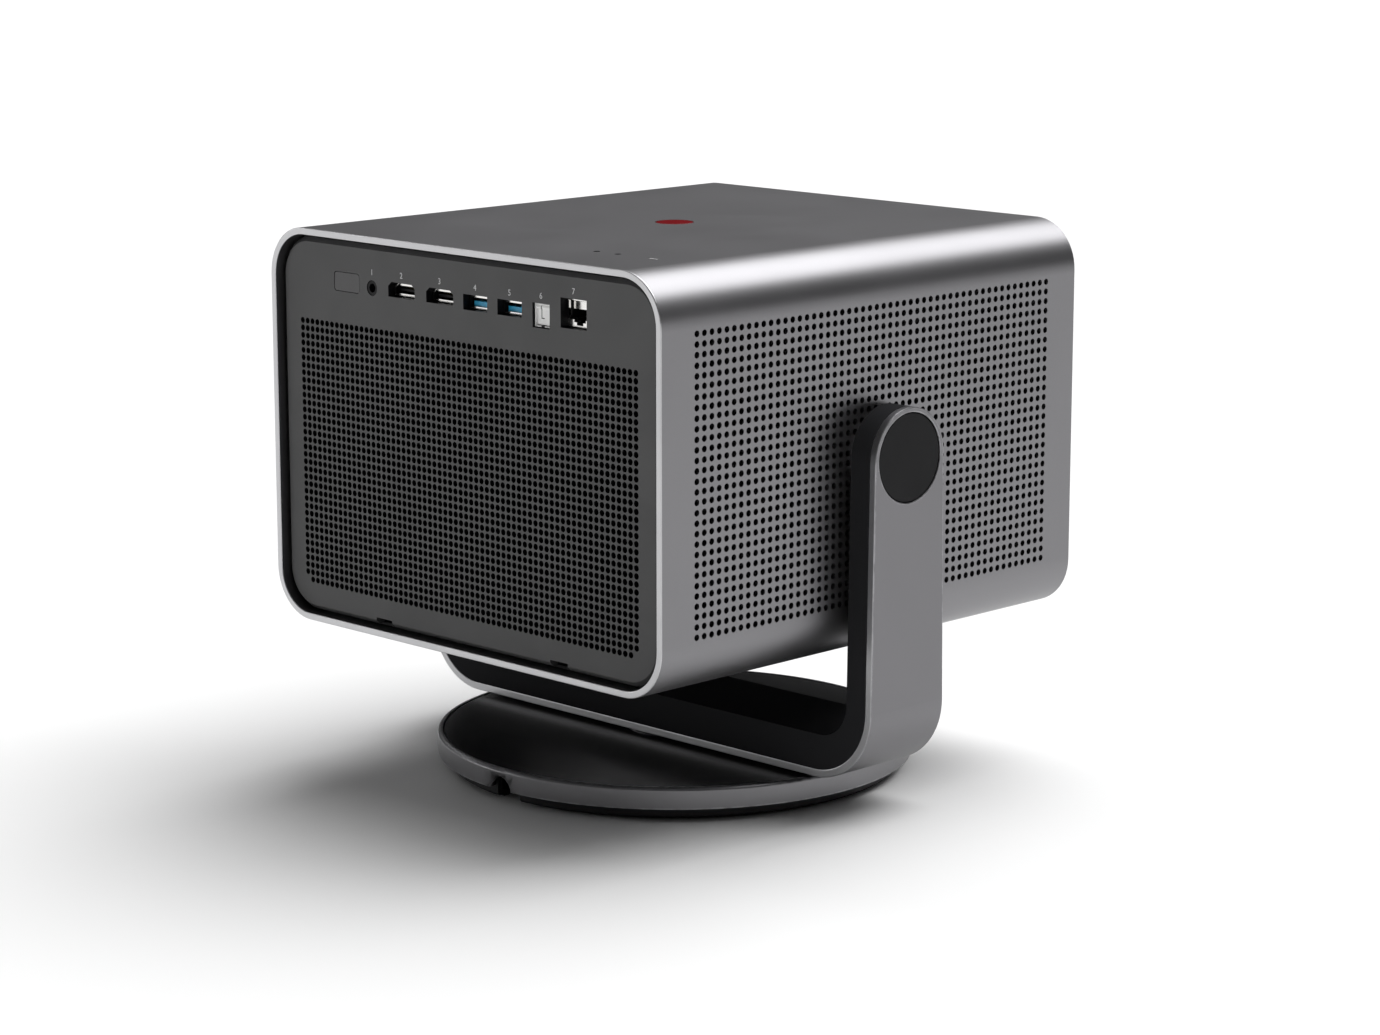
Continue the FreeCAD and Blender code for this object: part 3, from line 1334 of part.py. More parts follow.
def audio_socket():
    """Headphone socket with its collar in the panel."""
    body = head_body("audio_socket", D.audio_x, FRAME_FACE - 0.1, D.audio_z)
    case_side, case_depth, bore_radius = 8.0, 9.0, 1.8
    case = new_sketch(body, "XZ")
    rectangle(case, case_side, case_side)
    pad(body, case, case_depth, DOWN)
    collar = new_sketch(body, "XZ")
    circle(collar, AUDIO_RADIUS)
    pad(body, collar, D.panel_depth - 0.1, UP)
    bore = new_sketch(body, "XZ", D.panel_depth)
    circle(bore, bore_radius)
    pocket(body, bore, 11, DOWN)
    room = D.board_under - D.audio_z - case_side / 2
    foot = new_sketch(body, "XZ", -1)
    rectangle(foot, case_side - 2, room, 0, room / 2 + case_side / 2)
    pad(body, foot, case_depth - 1, DOWN)


SHUTTER_SIDE, SHUTTER_THICK = 7.4, 0.8
OPTICAL_FACE = PANEL_FACE - 1.0


def optical_socket():
    """Square optical socket behind its shutter."""
    body = head_body("optical_socket", D.optical_x, OPTICAL_FACE, D.optical_z)
    block = new_sketch(body, "XZ")
    rectangle(block, D.optical_side, D.optical_side)
    pad(body, block, 12, DOWN)
    mouth = new_sketch(body, "XZ")
    rectangle(mouth, SHUTTER_SIDE + 0.3, SHUTTER_SIDE + 0.3)
    pocket(body, mouth, 9.5, DOWN)
    hanger(body, D.optical_z, D.optical_side - 2, D.optical_side, 12)


def optical_shutter():
    """Sprung flap that keeps dust out of the optical socket; it swings inwards about its top edge."""
    hinge_radius = 0.7
    body = head_body("optical_shutter", D.optical_x, OPTICAL_FACE - 0.9,
                     D.optical_z + SHUTTER_SIDE / 2 - hinge_radius)
    pin = new_sketch(body, "YZ")
    circle(pin, hinge_radius)
    pad(body, pin, SHUTTER_SIDE - 0.2, BOTH)
    flap = new_sketch(body, "XZ", SHUTTER_THICK / 2)
    drop = SHUTTER_SIDE - hinge_radius
    rectangle(flap, SHUTTER_SIDE - 0.2, drop - 0.15, 0, -drop / 2 + 0.1)
    pad(body, flap, SHUTTER_THICK, DOWN)


def infrared_window():
    """Dark window of the remote control receiver."""
    body = head_body("infrared_window", D.infrared_x, 0, D.infrared_z)
    upright_plate(body, PANEL_FACE - 0.1, D.infrared_width, D.infrared_height, 2.2, 1.2, DOWN)


def build():
    """Make every piece, from the table upwards."""
    base_rim()
    base_top_plate()
    base_lower_pan()
    foot_ring()
    base_weight()
    power_socket()
    tripod_insert()
    base_screws()
    pan_bush()
    slip_washer()
    yoke_band()
    yoke_liner()
    pivot_cap("pivot_cap_left", 1)
    pivot_cap("pivot_cap_right", -1)
    tilt_bushes()
    pan_spindle()
    spindle_nut()
    sleeve_housing()
    rear_panel()
    rear_frame()
    dust_screens()
    front_bezel()
    front_glass()
    sensor_window()
    sensor_module()
    lens_ring()
    front_lens()
    lens_barrel()
    focus_carriage()
    focus_lens()
    rear_lens()
    optical_engine()
    laser_module()
    heat_sink()
    heat_pipes()
    fan_frames()
    fan_rotor("fan_rotor_left", 1)
    fan_rotor("fan_rotor_right", -1)
    speaker_boxes()
    speaker_drivers()
    chassis_tray()
    pivot_brackets()
    tilt_axles()
    friction_washers()
    axle_nuts()
    main_board()
    power_board()
    top_board()
    button_switch()
    status_light()
    power_button()
    hdmi_sockets()
    usb_sockets()
    usb_tongues()
    lan_socket()
    audio_socket()
    optical_socket()
    optical_shutter()
    infrared_window()


def check_document():
    """Refuse a document in which any feature failed or any piece has no valid solid."""
    for item in DOC.Objects:
        if "Invalid" in item.State or "Error" in item.State:
            raise RuntimeError(f"{item.Label} failed: {item.State}")
    for body in PIECES:
        if body.Shape.isNull() or not body.Shape.isValid() or not body.Shape.Solids:
            raise RuntimeError(f"{body.Label} has no valid solid")


def export_pieces():
    os.makedirs(OUTPUT_FOLDER, exist_ok=True)
    for body in PIECES:
        body.Shape.exportStep(os.path.join(OUTPUT_FOLDER, body.Label + ".step"))
    print(len(PIECES), "pieces written")


build()
DOC.recompute()
check_document()
export_pieces()
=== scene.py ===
# %% [markdown]
# A home video projector in a gimbal stand: an aluminium box with perforated sides hangs between
# the arms of a bent yoke, and the yoke turns on a round weighted base.
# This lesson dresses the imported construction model. Everything is in metres, in the model's own
# frame: the origin is under the middle of the base, +Z is up, the lens looks towards -Y and the
# sockets face +Y. "Right" is -X, as seen by a person standing behind the sockets.

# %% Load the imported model
import json
import math

import bmesh
import bpy
import mathutils
from mathutils import Matrix, Vector


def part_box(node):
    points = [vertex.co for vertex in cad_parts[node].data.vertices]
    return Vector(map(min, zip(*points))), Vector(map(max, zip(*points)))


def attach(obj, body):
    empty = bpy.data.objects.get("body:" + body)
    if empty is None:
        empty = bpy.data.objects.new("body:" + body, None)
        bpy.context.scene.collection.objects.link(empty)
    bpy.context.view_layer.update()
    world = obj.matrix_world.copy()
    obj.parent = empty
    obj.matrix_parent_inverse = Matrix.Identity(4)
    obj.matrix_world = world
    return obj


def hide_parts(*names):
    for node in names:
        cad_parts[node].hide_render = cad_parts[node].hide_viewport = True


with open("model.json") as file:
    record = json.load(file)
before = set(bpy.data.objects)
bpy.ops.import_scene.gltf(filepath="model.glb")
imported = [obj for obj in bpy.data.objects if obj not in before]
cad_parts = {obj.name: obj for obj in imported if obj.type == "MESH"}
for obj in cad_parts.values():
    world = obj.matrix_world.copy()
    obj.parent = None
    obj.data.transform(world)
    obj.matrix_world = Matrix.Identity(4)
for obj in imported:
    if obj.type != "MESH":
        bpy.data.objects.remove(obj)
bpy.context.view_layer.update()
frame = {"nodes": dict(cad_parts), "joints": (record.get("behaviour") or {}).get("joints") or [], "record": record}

MM = 0.001

# %% [markdown]
# The camera comes first, because every later choice is judged through it. Two square hole grids,
# one on the back and one on the side, fix where the photograph was taken from: both grids have a
# known pitch, so their perspective gives the distance, the height and the focal length. A long
# lens from 1.5 metres away keeps the edges of the box nearly parallel.

# %% Camera
CAMERA_PLACE = Vector((-1.00935, 1.00698, 0.3887))
CAMERA_LOOK = Vector((0.6909, -0.6953, -0.1982))
CAMERA_LENS = 93.65
SENSOR_WIDTH = 36.0

camera_data = bpy.data.cameras.new("photo_camera")
camera_data.lens = CAMERA_LENS
camera_data.sensor_fit = "HORIZONTAL"
camera_data.sensor_width = SENSOR_WIDTH
camera_data.clip_start, camera_data.clip_end = 0.05, 200
camera = bpy.data.objects.new("photo_camera", camera_data)
camera.location = CAMERA_PLACE
camera.rotation_euler = CAMERA_LOOK.to_track_quat("-Z", "Y").to_euler()
bpy.context.scene.collection.objects.link(camera)
bpy.context.scene.camera = camera
bpy.context.scene.view_settings.view_transform = "Standard"
print("camera", round(CAMERA_PLACE.length, 3), "m from the foot of the stand")

# %% [markdown]
# A material is a small network of nodes. Writing each node with four lines of Python hides the
# idea behind it, so two helpers do the typing: `add` makes one node with its settings and its
# inputs, and an input is either a plain value or the output of another node.

# %% Helpers for shader nodes
def add(tree, kind, inputs=None, **settings):
    """Add one node. inputs are by name or number: a value, or the socket of another node."""
    node = tree.nodes.new("ShaderNode" + kind)
    for name, value in settings.items():
        setattr(node, name, value)
    for name, value in (inputs or {}).items():
        if isinstance(value, bpy.types.NodeSocket):
            tree.links.new(value, node.inputs[name])
        else:
            node.inputs[name].default_value = value
    return node


def new_group(name, inputs):
    """Shader group that measures something over the surface. inputs: name -> start value."""
    group = bpy.data.node_groups.new(name, "ShaderNodeTree")
    for label, value in inputs.items():
        socket = group.interface.new_socket(label, in_out="INPUT", socket_type="NodeSocketFloat")
        socket.default_value = value
    source = group.nodes.new("NodeGroupInput")
    return group, source.outputs


def give(group, outputs):
    """Close a group: outputs is name -> (socket type, socket)."""
    for label, (kind, _) in outputs.items():
        group.interface.new_socket(label, in_out="OUTPUT", socket_type="NodeSocket" + kind)
    sink = group.nodes.new("NodeGroupOutput")
    for label, (_, socket) in outputs.items():
        group.links.new(socket, sink.inputs[label])
    print("group", group.name, "gives", ", ".join(outputs))
    return group


# %% [markdown]
# The studio is a wide pale floor, a dim room and four soft lights. All are sun lamps with a wide
# angle, which act like softboxes so large and far that the whole floor gets the same light and
# stays white up to the horizon. The key light hangs high beyond the lens side: it throws the long
# soft shadow, and the bright band on the upper right edge of the sleeve is its picture. The dark
# band under it is the dim room, and the flat side shows the pale floor. Two smaller lights, one
# from each side, draw the thin bright lines on rounded edges. The last one stands low behind the
# sockets and lights what faces backwards: the edge of the yoke, the rear panel and the base's rim.

# %% Floor
FLOOR_RADIUS, FLOOR_SIDES = 60.0, 64
FLOOR_DROP = 0.05 * MM
FLOOR_GREY = 0.9


def make_floor():
    turns = [math.tau * k / FLOOR_SIDES for k in range(FLOOR_SIDES)]
    corners = [(FLOOR_RADIUS * math.cos(a), FLOOR_RADIUS * math.sin(a), -FLOOR_DROP) for a in turns]
    mesh = bpy.data.meshes.new("floor")
    mesh.from_pydata(corners, [], [tuple(range(FLOOR_SIDES))])
    floor = bpy.data.objects.new("floor", mesh)
    bpy.context.scene.collection.objects.link(floor)
    material = bpy.data.materials.new("floor_paper")
    material.use_nodes = True
    tree = material.node_tree
    tree.nodes.clear()
    paper = add(tree, "BsdfDiffuse", {"Color": (FLOOR_GREY, FLOOR_GREY, FLOOR_GREY, 1)})
    add(tree, "OutputMaterial", {"Surface": paper.outputs[0]})
    mesh.materials.append(material)
    return floor


print(make_floor().name, "with a radius of", FLOOR_RADIUS, "m")

# %% [markdown]
# The room is only a gradient: nearly black at the horizon and a little lighter overhead. Polished
# metal shows whatever stands around it, so a plain white room would wash all its edges out.

# %% Room
ROOM_LOW, ROOM_HIGH = 0.02, 0.14
ROOM_FADE_START, ROOM_FADE_END = 0.15, 0.9


def make_room():
    world = bpy.data.worlds.new("dim_room")
    bpy.context.scene.world = world
    world.use_nodes = True
    tree = world.node_tree
    tree.nodes.clear()
    direction = add(tree, "TexCoord").outputs["Generated"]
    height = add(tree, "SeparateXYZ", {0: direction}).outputs["Z"]
    grey = add(tree, "MapRange", {"Value": height, "From Min": ROOM_FADE_START, "From Max": ROOM_FADE_END,
                                  "To Min": ROOM_LOW, "To Max": ROOM_HIGH})
    room = add(tree, "Background", {"Color": (1, 1, 1, 1), "Strength": grey.outputs[0]})
    add(tree, "OutputWorld", {"Surface": room.outputs[0]})


make_room()
print("room from", ROOM_LOW, "at the horizon to", ROOM_HIGH, "overhead")

# %% [markdown]
# Each light is one line of a table: where it comes from, how strong it is and how wide it looks from
# the object. The width decides how soft the shadow is and how broad the highlight on a rounded edge.

# %% Soft lights
LIGHTS = {
    # name: (comes from, strength, how wide it looks in degrees)
    "key_light": ((-0.02, -0.48, 0.88), 3.5, 59),
    "right_light": ((-0.50, -0.36, 0.76), 0.26, 28),
    "left_light": ((0.72, 0.10, 0.55), 0.20, 20),
    "rear_light": ((0.80, 0.55, 0.16), 0.28, 16),
}


def make_light(name, source, strength, width):
    data = bpy.data.lights.new(name, "SUN")
    data.energy = strength
    data.angle = math.radians(width)
    light = bpy.data.objects.new(name, data)
    light.rotation_euler = Vector(source).to_track_quat("Z", "Y").to_euler()
    bpy.context.scene.collection.objects.link(light)


for light_name, light_facts in LIGHTS.items():
    make_light(light_name, *light_facts)
print(len(LIGHTS), "soft lights")

# %% [markdown]
# Effects that several finishes share are node groups, each made once. The first is grain: the tiny
# unevenness of blasted metal or of a mould's texture. It is read in object space, in metres, so a
# grain of a quarter of a millimetre stays a quarter of a millimetre on every piece.

# %% Group: grain
def grain_group():
    group, value = new_group("surface_grain", {"Size": 0.25 * MM, "Softness": 0.5, "Stretch": 1.0})
    place = add(group, "TexCoord").outputs["Object"]
    narrow = add(group, "CombineXYZ", {0: 1.0, 1: value["Stretch"], 2: 1.0})
    place = add(group, "VectorMath", {0: place, 1: narrow.outputs[0]}, operation="MULTIPLY").outputs[0]
    scale = add(group, "Math", {0: 1.0, 1: value["Size"]}, operation="DIVIDE").outputs[0]
    noise = add(group, "TexNoise", {"Vector": place, "Scale": scale, "Detail": 3.0,
                                    "Roughness": value["Softness"]})
    return give(group, {"Height": ("Float", noise.outputs[0])})


GRAIN = grain_group()

# %% [markdown]
# The second is handling: broad soft patches where fingers, wiping and age have changed the gloss.
# It only moves the roughness a little up and down, which is what makes a surface look real when a
# light glides over it.

# %% Group: handling
def handling_group():
    group, value = new_group("handling", {"Patch": 30 * MM, "Low": 0.3, "High": 0.4})
    place = add(group, "TexCoord").outputs["Object"]
    scale = add(group, "Math", {0: 1.0, 1: value["Patch"]}, operation="DIVIDE").outputs[0]
    broad = add(group, "TexNoise", {"Vector": place, "Scale": scale, "Detail": 4.0, "Roughness": 0.55,
                                    "Distortion": 0.6})
    level = add(group, "MapRange", {"Value": broad.outputs[0], "From Min": 0.3, "From Max": 0.7,
                                    "To Min": value["Low"], "To Max": value["High"]})
    return give(group, {"Roughness": ("Float", level.outputs[0])})


HANDLING = handling_group()

# %% [markdown]
# The third finds edges. A bevel node answers with a normal that is rounded near an edge, so the
# angle between it and the true normal is a mask that is 1 on edges and 0 on flats. Noise breaks it
# up, because no edge wears evenly. Where the reach is broad and the colour pale, as on the yoke and
# the base's rim, the mask also paints a highlight along the edges.

# %% Group: edge wear
WEAR_NOISE = 220.0


def edge_group():
    group, value = new_group("edge_wear_and_sheen", {"Reach": 0.5 * MM, "Amount": 1.0})
    rounded = add(group, "Bevel", {"Radius": value["Reach"]}, samples=4).outputs[0]
    true_normal = add(group, "NewGeometry").outputs["Normal"]
    agree = add(group, "VectorMath", {0: rounded, 1: true_normal}, operation="DOT_PRODUCT").outputs["Value"]
    edge = add(group, "MapRange", {"Value": agree, "From Min": 0.995, "From Max": 0.85})
    place = add(group, "TexCoord").outputs["Object"]
    patches = add(group, "TexNoise", {"Vector": place, "Scale": WEAR_NOISE, "Detail": 3.0}).outputs[0]
    broken = add(group, "MapRange", {"Value": patches, "From Min": 0.35, "From Max": 0.6})
    worn = add(group, "Math", {0: edge.outputs[0], 1: broken.outputs[0]}, operation="MULTIPLY")
    worn = add(group, "Math", {0: worn.outputs[0], 1: value["Amount"]}, operation="MULTIPLY")
    return give(group, {"Mask": ("Float", worn.outputs[0])})


EDGES = edge_group()

# %% [markdown]
# The fourth finds cut faces. The yoke is a strip that was sawn from a sheet and bent: its broad faces
# were blasted with the sheet, and its narrow faces get a lighter colour, a painted sheen that stands in
# for the light they catch. All the narrow faces look along Y, so the Y part of the piece's own normal
# is the mask.

# %% Group: cut faces
def cut_group():
    group, value = new_group("cut_faces", {"Amount": 1.0})
    normal = add(group, "TexCoord").outputs["Normal"]
    along_y = add(group, "SeparateXYZ", {0: normal}).outputs["Y"]
    either = add(group, "Math", {0: along_y}, operation="ABSOLUTE").outputs[0]
    mask = add(group, "MapRange", {"Value": either, "From Min": 0.6, "From Max": 0.9}).outputs[0]
    mask = add(group, "Math", {0: mask, 1: value["Amount"]}, operation="MULTIPLY")
    return give(group, {"Mask": ("Float", mask.outputs[0])})


CUTS = cut_group()

# %% [markdown]
# With the groups ready, one function makes almost every finish. It wires grain to the bump, handling
# to the roughness, and wear to the colour. Where the wear colour is pale and its reach broad, the
# edges also get a painted highlight, and a cut sheen colour paints a sheen on narrow faces. Grain also
# tints the colour up and down by a few hundredths, since no dye or anodic layer is perfectly even.
# Each finish then differs in its numbers alone, and further inputs of the Principled shader can be
# named as plain constants.

# %% Start of a material
TINT_SWING = 0.06


def place_group(tree, group, **inputs):
    node = add(tree, "Group", node_tree=group)
    for label, value in inputs.items():
        node.inputs[label.capitalize()].default_value = value
    return node.outputs


def blend(tree, mask, first, second):
    """Colour that goes from first to second as the mask goes from 0 to 1."""
    return add(tree, "Mix", {0: mask, 6: first, 7: second}, data_type="RGBA").outputs[2]


def shade(name, colour, wear_and_sheen_colour=None, metallic=0.0, rough=(0.3, 0.4), patch=30 * MM,
          grain=0.25 * MM, stretch=1.0, relief=0.01 * MM, wear=0.5, reach=0.5 * MM, cut_sheen_colour=None,
          **constants):
    """Material with grain in the bump, handling in the roughness and wear on the edges. A pale wear colour also
    paints a highlight on the edges, and a cut sheen colour a sheen on narrow faces.
    """
    material = bpy.data.materials.new(name)
    material.use_nodes = True
    tree = material.node_tree
    tree.nodes.clear()
    surface = add(tree, "BsdfPrincipled", {"Metallic": metallic})
    for label, value in constants.items():
        surface.inputs[label.replace("_", " ")].default_value = value
    handled = place_group(tree, HANDLING, patch=patch, low=rough[0], high=rough[1])
    height = place_group(tree, GRAIN, size=grain, stretch=stretch)["Height"]
    tree.links.new(handled["Roughness"], surface.inputs["Roughness"])
    bump = add(tree, "Bump", {"Height": height, "Strength": 1.0, "Distance": relief})
    tree.links.new(bump.outputs[0], surface.inputs["Normal"])
    edge = place_group(tree, EDGES, reach=reach, amount=wear)["Mask"]
    wear_and_sheen_colour = wear_and_sheen_colour or [min(1, c * 1.6 + 0.02) for c in colour]
    darker = (*[c * (1 - TINT_SWING) for c in colour], 1)
    lighter = (*[c * (1 + TINT_SWING) for c in colour], 1)
    paint = blend(tree, height, darker, lighter)
    # A lighter colour on the narrow faces: a painted sheen.
    if cut_sheen_colour:
        paint = blend(tree, place_group(tree, CUTS, amount=1.0)["Mask"], paint, (*cut_sheen_colour, 1))
    tree.links.new(blend(tree, edge, paint, (*wear_and_sheen_colour, 1)), surface.inputs["Base Color"])
    add(tree, "OutputMaterial", {"Surface": surface.outputs[0]})
    return material


# %% [markdown]
# The metals. The sleeve and the yoke are blasted aluminium with a grey anodic layer: fully
# metallic, fairly dark, and rough enough to blur the studio into bands. The lips of the sleeve were
# cut after the blasting, so they are brighter and smoother.

# %% Finishes of metal
ALUMINIUM = shade("blasted_aluminium", (0.250, 0.247, 0.257), metallic=1.0, rough=(0.37, 0.40),
                  patch=70 * MM, grain=0.3 * MM, relief=0.005 * MM, wear=0.35)
# The yoke's pale, broad edges are wear and a painted highlight. Its narrow faces get a painted sheen.
YOKE_ALUMINIUM = shade("yoke_aluminium", (0.222, 0.219, 0.229), (0.60, 0.60, 0.62), metallic=1.0,
                       rough=(0.37, 0.40), patch=70 * MM, grain=0.3 * MM, relief=0.005 * MM, wear=0.9,
                       reach=1.1 * MM, cut_sheen_colour=(0.44, 0.44, 0.45))
# The rim's pale, broad edge is wear and a painted highlight along its rounded top.
RIM_ALUMINIUM = shade("base_rim_aluminium", (0.27, 0.267, 0.277), (0.64, 0.64, 0.66), metallic=1.0,
                      rough=(0.34, 0.38), patch=70 * MM, grain=0.3 * MM, relief=0.005 * MM, wear=0.9,
                      reach=1.1 * MM)
MACHINED = shade("machined_lip", (0.53, 0.53, 0.54), metallic=1.0, rough=(0.30, 0.38), grain=0.3 * MM,
                 stretch=0.2, relief=0.002 * MM, wear=0.3)
BRIGHT = shade("turned_aluminium", (0.62, 0.62, 0.63), metallic=1.0, rough=(0.24, 0.32), grain=0.2 * MM,
               stretch=0.1, relief=0.003 * MM, wear=0.3)
STEEL = shade("zinc_plated_steel", (0.50, 0.50, 0.52), metallic=1.0, rough=(0.28, 0.42), patch=12 * MM,
              relief=0.004 * MM, wear=0.4)
NICKEL = shade("nickel_plate", (0.80, 0.79, 0.77), metallic=1.0, rough=(0.12, 0.20), patch=4 * MM,
               grain=0.12 * MM, relief=0.001 * MM, wear=0.3)
BRASS = shade("turned_brass", (0.70, 0.50, 0.22), metallic=1.0, rough=(0.2, 0.32), patch=4 * MM,
              relief=0.002 * MM)
GOLD = shade("gilded_contact", (0.85, 0.60, 0.22), metallic=1.0, rough=(0.15, 0.25), patch=2 * MM,
             relief=0.001 * MM)
COPPER = shade("drawn_copper", (0.72, 0.36, 0.22), metallic=1.0, rough=(0.26, 0.4), patch=9 * MM,
               relief=0.003 * MM)
print(len(bpy.data.materials), "materials with the floor and the metals")

# %% [markdown]
# The plastics. Blacks differ more than they seem to: the polished top of the base mirrors the room, the
# moulded parts have a fine texture, the yoke's liner hardly shines at all, and the mesh behind the
# grilles is the deepest black. Small changes in colour, roughness and specular level keep them apart.

# %% Finishes of black plastic and rubber
GLOSS_BLACK = shade("polished_black", (0.026, 0.026, 0.027), rough=(0.2, 0.26), patch=60 * MM,
                    grain=1.5 * MM, relief=0.002 * MM, wear=0.2, Specular_IOR_Level=0.1)
BLACK = shade("moulded_black", (0.014, 0.014, 0.016), rough=(0.48, 0.6), grain=0.3 * MM, relief=0.02 * MM,
              wear=0.4, Specular_IOR_Level=0.35)
LINER_BLACK = shade("yoke_liner_black", (0.028, 0.028, 0.030), rough=(0.5, 0.6), grain=0.3 * MM,
                    relief=0.012 * MM, wear=0.3, Specular_IOR_Level=0.0)
CAP_BLACK = shade("pivot_cap_black", (0.011, 0.011, 0.012), rough=(0.4, 0.5), grain=0.25 * MM,
                  relief=0.01 * MM, wear=0.3, Specular_IOR_Level=0.12)
PANEL = shade("panel_plastic", (0.060, 0.060, 0.061), rough=(0.5, 0.6), grain=0.28 * MM, relief=0.02 * MM,
              wear=0.35)
WINDOW = shade("receiver_window", (0.052, 0.051, 0.053), rough=(0.3, 0.36), grain=0.5 * MM,
               relief=0.004 * MM, wear=0.2)
# The deepest black is the sockets' moulding, and it also paints shade: on the rear panel's hole and cut-out walls,
# socket linings and covers, the flap's slit and the key notch.
BLACK_MOULDING_AND_SHADE = shade("socket_moulding_and_shade", (0.004, 0.004, 0.005), rough=(0.45, 0.55), patch=4 * MM,
                     grain=0.2 * MM, relief=0.004 * MM, wear=0.1, Specular_IOR_Level=0.2)
SCREEN = shade("dust_screen_black", (0.0035, 0.0035, 0.004), rough=(0.8, 0.95), grain=0.4 * MM,
               relief=0.1 * MM, wear=0.0, Specular_IOR_Level=0.1)
RUBBER = shade("foot_rubber", (0.02, 0.02, 0.02), rough=(0.75, 0.9), grain=0.5 * MM, relief=0.05 * MM,
               wear=0.2)
print(len(bpy.data.materials), "materials with the blacks")

# %% [markdown]
# The few colours, and the glass. Glass keeps a plain transmission: the front lens only has a thin film
# that takes its reflection down, and the front glass lets a part of the light through a dark tint.

# %% Finishes of coloured plastic and glass
WHITE = shade("white_moulding", (0.95, 0.95, 0.94), rough=(0.4, 0.5), patch=8 * MM, relief=0.008 * MM,
              wear=0.1)
INK = shade("pale_ink", (0.66, 0.66, 0.67), rough=(0.5, 0.6), patch=4 * MM, grain=0.15 * MM,
            relief=0.01 * MM, wear=0.0)
BLUE = shade("blue_tongue", (0.06, 0.54, 0.90), rough=(0.25, 0.35), patch=5 * MM, relief=0.004 * MM,
             wear=0.1)
RED = shade("red_button", (0.19, 0.0015, 0.005), rough=(0.22, 0.3), patch=10 * MM, grain=0.2 * MM,
            relief=0.004 * MM, wear=0.2, Specular_IOR_Level=0.12)
BOARD = shade("coated_board", (0.012, 0.085, 0.045), rough=(0.3, 0.42), patch=10 * MM, grain=0.8 * MM,
              relief=0.02 * MM, wear=0.3)
SMOKED = shade("smoked_glass", (0.012, 0.012, 0.014), rough=(0.03, 0.08), patch=60 * MM, grain=4 * MM,
               relief=0.001 * MM, wear=0.1, Transmission_Weight=0.6, IOR=1.5)
LENS = shade("coated_lens", (0.93, 0.96, 0.98), rough=(0.0, 0.01), patch=40 * MM, grain=6 * MM,
             relief=0.00002 * MM, wear=0.0, Transmission_Weight=1.0, IOR=1.5, Thin_Film_Thickness=115.0,
             Thin_Film_IOR=1.38)
print(len(bpy.data.materials), "materials so far")

# %% [markdown]
# Carried-over pieces. Most construction pieces already have the right form, so they only need
# their finish. A table goes from the material slot in the model's record to a finish, and a second,
# shorter one names the pieces that need another finish than the rest of their slot.

# %% Finishes by material slot and by piece
FINISH_OF_SLOT = {
    "grey_aluminium": ALUMINIUM, "bright_aluminium": BRIGHT, "black_gloss": GLOSS_BLACK,
    "black_plastic": BLACK, "panel_grey": PANEL, "dark_glass": SMOKED, "lens_glass": LENS,
    "black_rubber": RUBBER, "steel": STEEL, "socket_metal": NICKEL, "brass": BRASS, "copper": COPPER,
    "blue_plastic": BLUE, "white_plastic": WHITE, "red_plastic": RED, "board_green": BOARD}
FINISH_OF_NODE = {
    "yoke_liner": LINER_BLACK, "yoke_band": YOKE_ALUMINIUM, "base_rim": RIM_ALUMINIUM,
    "pivot_cap_left": CAP_BLACK, "pivot_cap_right": CAP_BLACK, "lens_ring": MACHINED,
    "infrared_window": WINDOW, "audio_socket": BLACK_MOULDING_AND_SHADE, "dust_screens": SCREEN,
    "focus_carriage": SCREEN, "lens_barrel": SCREEN}
print(len(FINISH_OF_SLOT), "slots and", len(FINISH_OF_NODE), "pieces with a finish of their own")

# %% [markdown]
# Imported meshes have hard, infinitely thin edges, and no real edge is that thin: light needs
# something round to catch on. Three modifiers weld the split corners, break the edges by a fraction
# of a millimetre and point the normals of big faces straight. The base's rim keeps the round that
# the construction model gives it.

# %% Broken edges
WELD_REACH = 0.001 * MM
SHARP_ANGLE = math.radians(35)
EDGE_BREAK_MM = {
    "yoke_band": 0.35, "yoke_liner": 0.4, "base_top_plate": 0.25, "base_lower_pan": 0.3, "foot_ring": 0.4,
    "rear_frame": 0.3, "front_bezel": 0.3, "pivot_cap_left": 0.2, "pivot_cap_right": 0.2,
    "lens_ring": 0.2, "slip_washer": 0.15, "power_button": 0.12, "front_glass": 0.25,
    "lens_barrel": 0.2, "power_socket": 0.2, "hdmi_sockets": 0.1, "usb_sockets": 0.08,
    "usb_tongues": 0.15, "lan_socket": 0.12, "optical_socket": 0.15, "optical_shutter": 0.15,
    "audio_socket": 0.1}


def break_edges(piece, width):
    """Weld split corners, round the edges by width and straighten the normals."""
    weld = piece.modifiers.new("weld", "WELD")
    weld.merge_threshold = WELD_REACH
    if width:
        bevel = piece.modifiers.new("edge_break", "BEVEL")
        bevel.width = width
        bevel.segments = 2
        bevel.limit_method = "ANGLE"
        bevel.angle_limit = SHARP_ANGLE
        bevel.miter_outer = "MITER_ARC"
        bevel.use_clamp_overlap = True
    normals = piece.modifiers.new("normals", "WEIGHTED_NORMAL")
    normals.keep_sharp = True


def dress(node, finish):
    piece = frame["nodes"][node]
    if not piece.material_slots:
        piece.data.materials.append(finish)
    for material_slot in piece.material_slots:
        material_slot.material = finish
    break_edges(piece, EDGE_BREAK_MM.get(node, 0) * MM)


for row in frame["record"]["subparts"]:
    dress(row["node"], FINISH_OF_NODE.get(row["node"], FINISH_OF_SLOT[row["material_slot"]]))

# %% [markdown]
# The perforated sheets are the character of this object: more than five thousand round holes.
# Boolean cuts would be slow and untidy, so the sheet is written down as what it is: a grid of equal
# square cells, each with a twelve-sided hole. A small class keeps the points: two faces that name
# the same place share the same vertex, so sheets, rounded corners and edges join by themselves.

